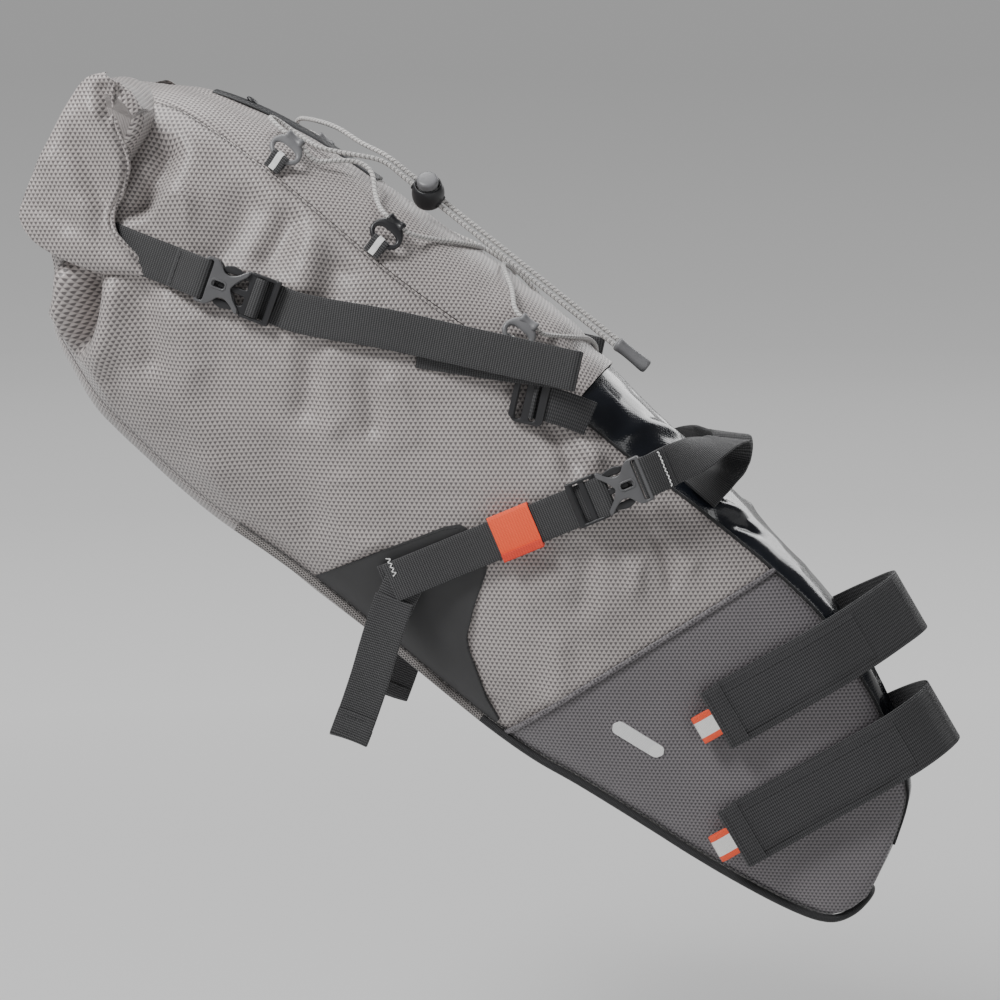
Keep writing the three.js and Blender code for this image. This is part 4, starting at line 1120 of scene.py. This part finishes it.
def seam_line(side, share, start, end, drop, lift):
    """A line on the side panel that runs drop mm inside a long seam, lift mm over the skin."""
    sign = 1 if share is top_share else -1
    line = []
    for s in np.arange(start, end, SEAM_STEP):
        angle = seam_angle(share(s), s)
        angle = on_hand(sign * (angle - drop / skin_pace(s, angle)), side)
        line.append(skin(s, angle) + lift * out_of(s, angle))
    return np.array(line)


def boot_line(side, drop, lift):
    """A line beside the seam between the nose panel and the side panel, and the ways out of it."""
    share = np.linspace(0.0, 1.0, 90)
    s = boot_seam(share) - drop
    spot = side_skin(s, -low_share(s) + share * (low_share(s) + top_share(s)), side)
    mid, tall, half, square = section(s)
    out = spot - at(s, 0, mid)
    rise, reach = out @ UP, out[:, 1]
    normal = unit((np.sign(rise) * np.abs(rise / tall)**(square - 1) / tall)[:, None] * UP
                  + (np.sign(reach) * np.abs(reach / half)**(square - 1) / half)[:, None] * LEFT)
    return spot + lift * normal, normal


def seams():
    """The lip and the rows of stitches along the sewn edges."""
    for name, side in SIDES:
        long_rows = [seam_line(side, top_share, 336, SEAM_ENDS, 2.6, 0.2),
                     seam_line(side, low_share, 205, SEAM_ENDS, 2.6, 0.2)]
        row = sew(f"seam_stitches_{name}", long_rows, None, "shell_fabric", THREAD_GREY, 2.6)
        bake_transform(row)
        line, normal = boot_line(side, 0.4, 0.75)
        lip = tube(f"nose_seam_{name}", line, 1.7, 10, flat=0.55, normal=normal)
        dress(lip, "root", "nose_fabric", BOOT)
        rows = [boot_line(side, 3.6, 0.35)[0], seam_line(side, top_share, 2, 172, 2.2, 0.4)]
        sew(f"nose_stitches_{name}", rows, "root", "nose_fabric", THREAD_GREY, 2.6)
        edge = seam_line(side, top_share, 0, 330, -0.3, 0.4)
        dress(tube(f"front_edge_{name}", edge, 0.9, 8), "root", "rubber_trim", BINDING)


def edge_piping():
    """Binding along the lower edge: black round the nose, woven grey further back."""
    lift = 2.4
    stations = [450, 420, 390, 360, 330, 300, 270, 240, 210, 180, 150, 120, 95, 72, 52, 35, 20, 8, 0, -4, -7]

    def run(side):
        angles = [on_hand(-seam_angle(low_share(s), s), side) for s in stations]
        return [skin(s, angle) + lift * out_of(s, angle) for s, angle in zip(stations, angles)]

    nose = [at(NOSE_END - lift, y, -43) for y in (-12, 12)]
    line = smooth(run(-1) + nose + run(1)[::-1], 2.0)
    piece = tube("binding", line, 2.7, 12, flat=0.95, normal=unit(line - at(250, 0, -20)))
    dress(piece, "root", "rubber_trim", [BINDING, EDGING], "edge_piping")
    second_material(piece, lambda station: station > TAPE_ENDS)
    inner = [seam_line(side, low_share, 2, 248, 4.2, 0.4) for _, side in SIDES]
    sew("binding_stitches", inner, "root", "rubber_trim", THREAD_DARK, 2.8)


def seatpost_pad():
    """A plate with nine ribs across it, square to the seatpost."""
    normal = heading(POST["lean"])
    matrix = np.identity(4)
    matrix[:3, :3] = np.stack([LEFT, wide_of(normal), normal], axis=1)
    basis, half_w, half_h = matrix.tolist(), PAD["width"] / 2, PAD["height"] / 2
    plate = box(-half_w, half_w, -half_h, half_h)
    pieces = [moulded("pad_base", [plate], -PAD["thick"], -0.9, 0.4, basis, 3)]
    for y in np.linspace(6 - half_h, half_h - 6, 9):
        rib = box(2 - half_w, half_w - 2, y - 1.6, y + 1.6)
        pieces.append(moulded("rib", [rib], -1.6, 0, 0.35, basis, 1.2))
    dress(join("post_pad", *pieces), "root", "rubber_trim", RUBBER, "seatpost_pad")


def wing_patches():
    s = np.linspace(243, 391, 120)
    mid, tall, _, _ = section(s)
    low = -low_share(s) + 3.0 / tall
    high = np.maximum((patch_outline(s) - mid) / tall, low + 0.004)
    share = low[:, None] + np.linspace(0, 1, 30)[None, :] * (high - low)[:, None]
    for name, side in SIDES:
        points = side_skin(s[:, None] + 0 * share, share, side)
        normal = side_normals(points, side)
        rim = np.minimum(edge_distance(points), 6) / 6
        relief = 1.1 + 0.12 * patchy(*heights(points), 26, 61) + 0.08 * rim
        outer = points + normal * relief[..., None]
        piece = slab(f"patch_{name}", outer, outer - normal * 1.4, grid_uv(points))
        dress(piece, "root", "wing_patch", PATCH, f"wing_patch_{name}")
        edge = outer[:, -1] - (outer[:, -1] - outer[:, -2]) * 0.8 + normal[:, -1] * 0.15
        sew(f"patch_stitches_{name}", [edge], "root", "wing_patch", THREAD_DARK, 2.6)


def crown_strip():
    s = np.linspace(522, 640, 40)
    height = over_skin(s, 0, 4.2)
    strip = strap("crown_band", at(s, 0, height), LEFT, 24, 1.5, 2, curl=-1.6)
    dress(strip, "root", "webbing", STRIP_COAT, "crown_strip")
    rows = [at(s, y, height - 0.2)[1:-1] for y in (-9, 9)]
    sew("crown_stitches", rows, "root", "webbing", THREAD_GREY, 3)
    profile = [(0, 0), (4.6, 0), (5, 0.6), (4.4, 1.6), (2, 2.3), (0, 2.4)]
    stud = lathe("crown_stud", profile, at(617, 0, over_skin(617, 0, 4.4)), UP, 32)
    dress(stud, "root", "webbing", BUCKLE_BLACK)


def reflective_mark():
    """A plain reflective dash printed on each side of the nose."""
    s, h = np.meshgrid(np.linspace(150, 186, 24), np.linspace(-4.5, 4.5, 10), indexing="ij")
    end = np.sqrt(np.clip(1 - (np.clip(np.abs(s - 168) - 13.5, 0, None) / 4.5)**2, 0.02, 1))
    height = -0.12 * (s - 168) - 52 + h * end
    mid, tall, _, _ = section(s)
    for name, side in SIDES:
        points = side_skin(s, (height - mid) / tall, side)
        normal = side_normals(points, side)
        outer = points + normal * 1.15
        mark = slab(f"reflective_mark_{name}", outer, outer - normal * 1.6, grid_uv(points))
        dress(mark, "root", "nose_fabric", STRIPE)


reflective_mark()
side_panels()
top_panel()
bottom_panel()
front_panel()
seams()
edge_piping()
seatpost_pad()
wing_patches()
crown_strip()


# ---------------------------------------------------------------- roll closure

ROLL = [(654, 62), (668, 66), (681, 64), (690, 57), (694, 46), (692, 26), (688, 5), (683, -20), (676, -38),
        (670, -45), (660, -47), (651, -45), (645, -34), (642, -10), (642, 32), (646, 52)]
EAR_REAR = [(686, 64), (693, 54), (693, 36), (688, 8), (682, -18), (673, -41), (658, -47), (640, -45),
            (613, -36), (588, -19)]
EAR_FRONT = [(676, 64), (668, 52), (660, 43), (640, 30), (632, 14), (629, 0), (622, -8), (612, -11),
             (600, -13), (586, -17)]
EAR_FOLDS = [
    ((684, 44), (634, 18), 5, 4.2), ((678, 24), (622, -14), 7, -5.0), ((684, 58), (664, 42), 4, -5.5),
    ((688, 2), (626, -22), 9, 2.8), ((676, -30), (604, -20), 6, -2.4), ((670, -12), (640, -30), 7, -2.2),
    ((650, -4), (596, -18), 5, 2.6), ((690, 36), (680, -10), 6, 1.8),
]


def roll_body():
    """The rolled band across the rear, seen as its outermost turn."""
    outline = smooth(ROLL + ROLL[:1], 3)[:-1]
    spoke = unit(outline - outline.mean(axis=0))
    around = lengths(np.concatenate([outline, outline[:1]]))[:-1]
    rings, uvs = [], []
    for y in np.concatenate([np.linspace(-89, -79, 9), np.linspace(-77, 77, 90), np.linspace(79, 89, 9)]):
        place = y + 0 * around
        tuck = 7 * np.clip((abs(y) - 81) / 8, 0, 1)**2
        wave = 1.1 * patchy(around, place, 34, 23) + 0.7 * patchy(around, place, 15, 24)
        sag = 1.6 * math.cos(y / 94 * math.pi / 2)
        ring = outline + spoke * (wave - tuck + sag - 1.6)[:, None]
        rings.append(at(ring[:, 0], y, ring[:, 1]))
        uvs.append(np.stack([around, place], axis=1))
    dress(loft("roll_band", rings, uvs), "roll", "shell_fabric", SHELL, "roll_closure")


def resampled(line, t):
    """The points of a line at the shares t of the way through its list."""
    number = np.arange(len(line))
    return np.stack([np.interp(t * number[-1], number, line[:, k]) for k in (0, 1)], axis=1)


def roll_ears():
    """The end of the band on each side, folded flat over the bag and drawn forward."""
    t, a = np.linspace(0, 1, 90), np.linspace(0, 1, 60)[None, :, None]
    rear, front = (resampled(smooth(edge, 1), t)[:, None] for edge in (EAR_REAR, EAR_FRONT))
    flat = rear * (1 - a) + front * a
    s, h = flat[..., 0], flat[..., 1]
    a, b = np.broadcast_arrays(a[..., 0], t[:, None])
    bulge = 87.5 + 7.5 * np.sin(np.pi * np.clip(a * 0.86 + 0.01, 0, 1))**0.6
    bulge += folded(s, h, EAR_FOLDS) + 0.9 * patchy(s, h, 24, 33) + 0.4 * patchy(s, h, 11, 35)
    hem = np.clip((a - 0.9) / 0.1, 0, 1)
    bulge += 2.0 * hem - 4.5 * hem**4 - 6 * np.clip((b - 0.8) / 0.2, 0, 1)**2
    bulge[:, 0] = 80
    for name, side in SIDES:
        outer, inner = at(s, side * bulge, h), at(s, side * (bulge - 1.8), h)
        dress(slab(f"roll_ear_{name}", outer, inner, flat), "roll", "shell_fabric", SHELL)
        rim = smooth((outer[:, -1] - vec(0, side * 0.8, 0))[::6], 2)
        dress(tube(f"ear_hem_{name}", rim, 2.0, 12), "roll", "shell_fabric", SHELL)


roll_body()
roll_ears()


# ---------------------------------------------------------------- side release buckles

BUCKLE_HALF = 14.5                          # half the width of a buckle


def buckle(kind, name, side, position, direction, body, plug_body):
    """Two halves: a forked cover with its guide slot, and a ladder with three prongs."""
    basis = basis_of(position, direction, side)
    half = BUCKLE_HALF
    fork = mirrored([(-29, half), (-21, half), (-17.5, 11), (-15, 7.8), (-11, 7.2), (-6.5, 9.4), (-3, 12.6),
                     (-0.3, half), (-0.2, 11), (-5.6, 5.6), (-8.6, 0.6)])
    guide, slot = box(-21, -12.6, -1.9, 1.9), box(-27, -23.6, -12.9, 12.9)
    end = mirrored([(-29, half), (-21.6, half), (-19.4, 12), (-19.6, 8)])
    cover = [
        moulded("fork", [fork, slot, guide], 2.3, 4.4, 0.7, basis, 2.0),
        moulded("rim", [box(-22.2, -11.6, -3.1, 3.1), guide], 4.0, 4.8, 0.3, basis, 2.6),
        moulded("back", [fork, slot], -4.3, -2.3, 0.7, basis, 2.0),
        moulded("block", [end, slot], -3.6, 3.6, 0.6, basis, 1.6),
    ]
    socket = join(f"{kind}_buckle_socket_{name}", *cover)
    dress(socket, body, "buckle_plastic", BUCKLE_GREY, f"{kind}_socket_{name}")
    prongs = mirrored([(-17.5, 1.6), (1, 2.2), (0.6, 8), (-8, 8.8), (-14, 8.4), (-18, 9.6), (-17, 12.2),
                       (-12, 13.8), (-7, 12.9), (-0.6, 10.9), (0.4, half), (20, half)])
    slots = [box(4.2, 8, -12.8, 12.8), box(11.6, 15.8, -12.6, 12.6)]
    ladder = [
        moulded("ladder", [prongs, *slots], -1.7, 1.7, 0.6, basis, 1.4),
        moulded("bar", [box(16.4, 20, -half, half)], -2.5, 2.7, 0.9, basis, 1.2),
        *(moulded("rail", [box(1.0, 18, y - 0.95, y + 0.95)], -2.3, 2.5, 0.6, basis, 0.8)
          for y in (-13.5, 13.5)),
    ]
    plug = join(f"{kind}_buckle_plug_{name}", *ladder)
    dress(plug, plug_body, "buckle_plastic", BUCKLE_BLACK, f"{kind}_plug_{name}")


# ---------------------------------------------------------------- roll straps

ROLL_RUN, ROLL_STRAP_RUN = heading(math.radians(-20)), heading(math.radians(-12.4))


def zigzag(centre, along, across, length, width, turns):
    """A bartack: one zigzag line of thread."""
    steps = np.arange(turns + 1)
    return (centre + along * (length * (steps / turns - 0.5))[:, None]
            + across * (width / 2 * (2 * (steps % 2) - 1))[:, None])


def roll_straps():
    wide, strap_wide = wide_of(ROLL_RUN), wide_of(ROLL_STRAP_RUN)
    for name, side in SIDES:
        centre = on_side(side, -378, 92, 232.5)
        buckle("roll", name, side, centre, ROLL_RUN, "roll", f"roll_plug_{name}")
        reach = reacher(centre, ROLL_RUN, side)
        stub = strap("stub", trace(reach, (-100, 80), (-84, 85.6), (-66, 88.8), (-49, 90), (-38, 91.6),
                                   (-30, 92.4), (-25.4, 92)), wide, NARROW, WEB, ripple=0.3)
        turn = strap("turn", trace(reach, (-48, 91.0), (-40, 93.6), (-30, 96.0), (-26.2, 95.4), (-25.0, 92.6),
                                   (-26, 89.6), (-30, 88.6)), wide, NARROW, WEB, 0.8)
        dress(join(f"roll_stub_web_{name}", stub, turn), "roll", "webbing", WEBBING, f"roll_stub_{name}")
        tack = [reach(-46.6 + 1.3 * (k % 2), 92.9) + wide * (2.2 * k - 11) for k in range(11)]
        sew(f"roll_stub_tack_{name}", [tack], "roll", "webbing", THREAD_DARK, 2.4, 0.9, 0.35)
        point = reacher(on_side(side, -172, 81, 185), ROLL_STRAP_RUN, side)
        path = trace(reach, (2, 88.3), (9, 88.3), (18, 88.3), (34, 88.6))
        path += trace(point, (-120, 88.2), (-90, 86.6), (-50, 84.4), (-10, 82), (-2.5, 81.2), (-0.6, 79.6),
                      (-3, 78), (-14, 77.8, -1), (-60, 79.4, -5), (-100, 81.8, -7.5))
        web = strap(f"roll_strap_web_{name}", path, [wide] * 4 + [strap_wide] * 10, NARROW, WEB, ripple=0.5)
        dress(web, "root", "webbing", WEBBING, f"roll_strap_{name}")
        lap = strap(f"roll_strap_lap_{name}", trace(reach, (5.6, 90.2), (4.0, 91.8), (5.4, 94.3), (9.6, 94.6),
                                                    (11.4, 92), (10.2, 90.2)), wide, 24.6, 1.2, 0.7)
        dress(lap, f"roll_plug_{name}", "webbing", WEBBING)


def ladder_locks():
    run = ROLL_STRAP_RUN
    for name, side in SIDES:
        centre = on_side(side, -203, 75.2, 167)
        basis = basis_of(centre, run, side)
        outline = mirrored([(-10, 12.6), (-7, 15), (9, 15), (11, 12.6)])
        slots = [box(-7, -3, -12.8, 12.8), box(2, 6, -12.6, 12.6)]
        plate = moulded("plate", [outline, *slots], -1.5, 1.5, 0.5, basis, 2)
        edge = [(-11, -12), (-7.4, -12.6), (-7.4, 12.6), (-11, 12)]
        lever = moulded("lever", [edge], -2.0, 3.4, 0.8, basis, 1.5)
        dress(join(f"tension_lock_{name}", plate, lever), "root", "buckle_plastic", BUCKLE_BLACK,
              f"ladder_lock_{name}")
        path = [centre + run * along + vec(0, side * lift, 0)
                for along, lift in ((4, 2.6), (1.4, 0), (4, -2.2), (12, -1.2))]
        path += [on_side(side, -178, 71, 160), on_side(side, -166, 67, 155)]
        across = [wide_of(run)] * 4 + [vec(0.4, 0, 0.9), vec(0.5, 0, 0.85)]
        dress(strap(f"lock_anchor_{name}", path, across, 22, WEB, 1.0), "root", "webbing", HOOK_LOOP,
              f"anchor_webbing_{name}")


# ---------------------------------------------------------------- compression and saddle straps

STRAP_RUN = heading(math.radians(23))
STRAP_WIDE = wide_of(STRAP_RUN)
SEWN_END = (-290, 76.6, 52)
SADDLE_BUCKLE = (-156.6, 84.6, 109.8)
KEEPER = {"y": 80.2, "reach": 86, "length": 27}
TAIL = {"top": (-287, 82, 42), "length": 92, "swing": math.radians(-108.5)}


def compression_straps():
    for name, side in SIDES:
        reach = reacher(on_side(side, *SEWN_END), STRAP_RUN, side)
        under = strap("under", trace(reach, (-4, 76.4), (10, 77.6), (30, 78.8), (70, 79.2), (118, 79.2),
                                     (136, 80), (142, 81.8)), STRAP_WIDE, NARROW, WEB)
        over = strap("over", trace(reach, (1, 82.2), (8, 83.4), (20, 82.9), (40, 81.5), (86, 81.3),
                                   (118, 81.3), (134, 83.4), (141.6, 86.4), (146, 87.2), (149.6, 85.4),
                                   (149, 82.6), (144, 81.6)), STRAP_WIDE, NARROW, WEB, 1.0)
        dress(join(f"side_strap_{name}", under, over), "root", "webbing", WEBBING,
              f"compression_strap_{name}")
        tacks = [zigzag(reach(distance, y) + 9.5 * STRAP_WIDE, STRAP_WIDE, STRAP_RUN, length, 3, 8)
                 for distance, y, length in ((6, 84.5, 12), (44, 81.6, 3))]
        sew(f"side_strap_tack_{name}", tacks, "root", "webbing", THREAD_WHITE, 1.6, 0.95, 0.42)
        buckle("saddle", name, side, on_side(side, *SADDLE_BUCKLE), -STRAP_RUN, "root", f"saddle_plug_{name}")


def strap_keepers():
    """Elastic sleeves sewn into a loop, with the lap of their seam along one edge."""
    outline = rounded(box(-14.6, 14.6, -3.05, 3.4), 2.6, 6)
    inner = rounded(box(-13.5, 13.5, -2.35, 2.4), 2.0, 6)
    half = KEEPER["length"] / 2
    order = [(outline, t) for t in np.linspace(-half, half, 22)]
    order = [(inner, 0.3 - half), *order, (inner, half - 0.3)]
    for name, side in SIDES:
        out = vec(0, side, 0)
        centre = on_side(side, *SEWN_END) + STRAP_RUN * KEEPER["reach"]
        centre[1] = side * KEEPER["y"]
        rings, uvs = [], []
        for ring, t in order:
            lift = ring[:, 1:] + 0.1 * math.sin(t / 4.1)
            rings.append(centre + STRAP_RUN * t + ring[:, :1] * STRAP_WIDE + lift * out)
            uvs.append(np.stack([ring[:, 0], np.full(len(ring), t)], axis=1))
        sleeve = loft(f"keeper_sleeve_{name}", rings, uvs, around=True)
        dress(sleeve, f"keeper_{name}", "orange_elastic", ORANGE, f"strap_keeper_{name}")
        spot = lambda t, drop, lift: centre + STRAP_RUN * t - STRAP_WIDE * drop + out * lift
        path = [spot(t, 12.4, 4.0) for t in (-half, 0, half)]
        dress(strap(f"keeper_lap_{name}", path, STRAP_WIDE, 5.2, 1.1), f"keeper_{name}", "orange_elastic",
              ORANGE_LAP)
        line = [spot(t, 10.4, 4.2) for t in (-half, half)]
        sew(f"keeper_thread_{name}", [line], f"keeper_{name}", "orange_elastic", THREAD_RED, 2.2, 0.7, 0.3)


def strap_tails():
    """A piece sewn to the bag, and the hanging end with its folded hem."""
    run = heading(TAIL["swing"])
    wide = wide_of(run)
    for name, side in SIDES:
        top, out, tail = on_side(side, *TAIL["top"]), vec(0, side, 0), f"tail_{name}"
        spot = lambda distance, lift=0.0, slip=0.0: top + run * distance + out * lift + wide * slip
        path = trace(spot, (-18, -2.6, 3), (-6, -2.4, 1.5), (5, -1.8, 0.4))
        root_end = strap(f"tail_root_{name}", path, wide, NARROW, WEB)
        dress(root_end, "root", "webbing", WEBBING)
        web = strap("web", trace(spot, (-0.5, 0.1), (6, 0.0), (26, 0.4, 0.2), (52, 0.8, 1.2), (78, 0.2, 1.0),
                                 (TAIL["length"], 0, 0.4)), wide, NARROW, WEB, curl=-0.7)
        hem = strap("hem", trace(spot, (76, 1.5, 1.0), (88, 1.5, 0.6), (92.4, 1.0, 0.4), (93.2, -0.1, 0.4),
                                 (92.4, -1.2, 0.4), (84, -1.5, 0.8)), wide, NARROW, 1.4, 0.8, curl=-0.7)
        dress(join(f"tail_web_{name}", web, hem), tail, "webbing", WEBBING, f"strap_tail_{name}")
        lines = [[spot(d, 2.3, 1) + wide * x for x in (-11, 11)] for d in (79, 89)]
        sew(f"tail_stitches_{name}", lines, tail, "webbing", THREAD_DARK, 2.4)


def rail_straps():
    """Webbing that turns flat, passes over the saddle rail and comes back under it to the bag."""
    upright, flat, sewn = STRAP_WIDE, vec(-1, 0, 0.12), vec(-0.777, 0, 0.629)
    mix = lambda a, b, t: a + (b - a) * t
    route = [
        (-124.6, 84.2, 123.4, upright), (-117, 77, 127, upright), (-105, 62, 131.5, mix(upright, flat, 0.35)),
        (-95, 47, 136, mix(upright, flat, 0.75)), (-88, 34, 138.5, flat), (-84, 24, 139.5, flat),
        (-82, 15, 138, flat), (-81, 11, 132.5, flat), (-82, 12.5, 126, flat), (-84, 20, 121, flat),
        (-89, 32, 117, mix(flat, sewn, 0.4)), (-95, 42, 111.5, sewn), (-99, 49, 107, sewn),
    ]
    for name, side in SIDES:
        path = [on_side(side, x, y, z) for x, y, z, _ in route]
        web = strap("web", path, [across for *_, across in route], NARROW, WEB, 1.2)
        reach = reacher(on_side(side, *SADDLE_BUCKLE), STRAP_RUN, side)
        lap = strap("lap", trace(reach, (44, 78.0), (36, 84.2), (30, 87.6), (26.4, 87.4), (25.0, 84.6),
                                 (26.4, 81.8), (31, 81.6)), STRAP_WIDE, NARROW, WEB, 0.8)
        dress(join(f"saddle_loop_{name}", web, lap), "root", "webbing", WEBBING, f"rail_strap_{name}")
        tack = zigzag(reach(41.5, 82.2), STRAP_WIDE, STRAP_RUN, 23, 1.6, 18)
        sew(f"saddle_loop_tack_{name}", [tack], "root", "webbing", THREAD_WHITE, 1.5, 0.95, 0.42)


# ---------------------------------------------------------------- seatpost straps

POST_RUN = heading(math.radians(30.5))
POST_WIDE = wide_of(POST_RUN)
POST_STRAPS = [
    ("upper", -87, -34, [(0, 58), (45, 56), (78, 52.5), (104, 41), (122, 27), (134, 15), (138.5, 5)]),
    ("lower", -76, -111, [(0, 49), (50, 46.5), (98, 44.5), (122, 40), (139, 28), (148, 15), (151, 5)]),
]
LAYER = WEB + CLEAR
INSET = 9                                   # how far inside the flap's end the loop starts


def seatpost_straps():
    """A loop round the seatpost, the flap that lies over its right side and the tab to pull it by."""
    for name, x, z, route in POST_STRAPS:
        point = lambda distance, y: vec(x, 0, z) + POST_RUN * distance + LEFT * y
        inner = [(INSET, route[0][1])] + route[1:]
        path = [point(d, -half) for d, half in inner] + [point(d, half) for d, half in inner[::-1]]
        loop = strap(f"post_loop_{name}", path, POST_WIDE, WIDE + 1.5, WEB, 1.6)
        dress(loop, "root", "hook_and_loop", HOOK_LOOP, f"seatpost_strap_{name}")
        outer = []
        for (distance, half), (further, low) in zip(route, route[1:]):
            slant = math.atan2(half - low, further - distance)
            outer.append(point(distance + LAYER * math.sin(slant), -half - LAYER * math.cos(slant) - CLEAR))
        flap = strap("flap", outer, POST_WIDE, WIDE, WEB, 1.6, ripple=0.35)
        start = point(0, -route[0][1] - LAYER - CLEAR)
        spot = lambda along, y, drop=0.0: start + POST_RUN * along + LEFT * y + POST_WIDE * drop
        turned = trace(spot, (13, -1.5), (4, -1.5), (0.4, -1.05), (-0.2, 0), (0.6, 0.75))
        hem = strap("hem", turned, POST_WIDE, WIDE, 1.5, 0.8)
        band = strap("band", [p - 1.1 * LEFT for p in outer[:4]], POST_WIDE, WIDE - 9, 1.0, 1.6)
        dress(join(f"post_flap_{name}", flap, hem, band), f"flap_{name}", "hook_and_loop", HOOK_LOOP,
              f"seatpost_flap_{name}")
        rows = [smooth(outer[:4], 3) + POST_WIDE * edge - 1.75 * LEFT for edge in (-13.4, 13.4)]
        rows += [trace(spot, (d, -2.3, -18), (d, -2.3, 18)) for d in (3, 10.5)]
        sew(f"post_flap_stitches_{name}", rows, f"flap_{name}", "hook_and_loop", THREAD_DARK, 2.6, 0.7, 0.3)
        pull = trace(spot, (4, -0.4), (-4, -1.6), (-9, -2.0), (-12.4, -1.2), (-13, 0.6), (-11.6, 2.0),
                     (-7, 2.2), (2, 1.4))
        dress(strap(f"pull_loop_{name}", pull, POST_WIDE, 18, 0.9, 0.7), f"flap_{name}", "pull_tab", PULL,
              f"pull_tab_{name}")


roll_straps()
ladder_locks()
compression_straps()
strap_keepers()
strap_tails()
rail_straps()
seatpost_straps()


# ---------------------------------------------------------------- studio

FLOOR_LOW, FLOOR_STEPS = -0.36, 96          # metres below the origin, points round each ring
# Radius and height over the floor of each ring, in metres: flat, then up into the wall.
FLOOR_PROFILE = [(0.0005, 0), (1, 0), (2.5, 0), (5, 0), (8.4, 0), (9.2, 0.05), (9.7, 0.25), (9.95, 0.7),
                 (10, 1.4), (10, 2.6)]
# Metres along the floor and up the wall, and how bright they glow there.
GLOW = [(0, 0.98), (1.5, 0.88), (4.3, 0.66), (9, 0.5), (12, 0.36)]
# Name, place, what it points at, width in metres and watts.
LIGHTS = [
    ("key", (-1.3, -1.5, 1.9), (-0.3, 0, 0.12), 0.7, 66), ("top", (-0.6, 0.4, 2.0), (-0.25, 0, 0.1), 1.0, 24),
    ("fill", (1.5, -1.9, 0.5), (-0.1, 0, 0.05), 0.9, 5), ("back", (0.6, 1.8, 1.1), (-0.2, 0, 0.1), 1.2, 14),
]


def floor_paper():
    """White paper that glows by itself, less with distance, and takes shadows only near the bag."""
    finish = Finish("floor_paper", Roughness=0.9)
    tone = finish.noise(finish.place(), 1.5)
    finish.paint(finish.colour(tone, (0.0, (0.62, 0.62, 0.62)), (1.0, (0.66, 0.66, 0.66))))
    x, y, z = finish.node("SeparateXYZ", ((0, finish.place()),)).node.outputs
    away = finish.math("SQRT", finish.math("ADD", finish.math("POWER", x, 2.0), finish.math("POWER", y, 2.0)))
    path = finish.math("ADD", away, finish.math("MULTIPLY", finish.spread(z, FLOOR_LOW, 2.2), 5.0))
    far = GLOW[-1][0]
    glow = finish.colour(finish.spread(path, 0.0, far), *[(m / far, (v, v, v)) for m, v in GLOW])
    light = finish.node("Emission", ((0, glow), (1, 1.0)))
    share = finish.spread(away, 0.25, 2.0, 0.2, 1.0)
    mixed = finish.node("MixShader", ((0, share), (1, finish.shader.outputs[0]), (2, light)))
    finish.tree.links.new(mixed, finish.tree.nodes["Material Output"].inputs[0])
    return finish.material


def studio():
    """A pale round floor that turns up into a far wall, with soft lights over it."""
    turn = np.linspace(0, 2 * np.pi, FLOOR_STEPS + 1)[:-1]
    rings = [np.stack([r * np.cos(turn), r * np.sin(turn), np.full(FLOOR_STEPS, z + FLOOR_LOW)], axis=1)
             for r, z in FLOOR_PROFILE]
    faces = [face[::-1] for face in quads(len(rings), FLOOR_STEPS, around=True)]
    mesh = bpy.data.meshes.new("floor")
    mesh.from_pydata(np.concatenate(rings).tolist(), [], faces)
    mesh.shade_smooth()
    mesh.materials.append(floor_paper())
    placed("floor", mesh)
    world = bpy.data.worlds.new("studio")
    world.use_nodes = True
    world.node_tree.nodes["Background"].inputs[0].default_value = (0.09, 0.092, 0.097, 1)
    bpy.context.scene.world = world
    for name, place, aim, size, power in LIGHTS:
        data = bpy.data.lights.new(name, "AREA")
        data.size, data.energy = size, power
        light = placed(name, data)
        light.location = place
        light.rotation_euler = (Vector(aim) - Vector(place)).to_track_quat("-Z", "Y").to_euler()


studio()
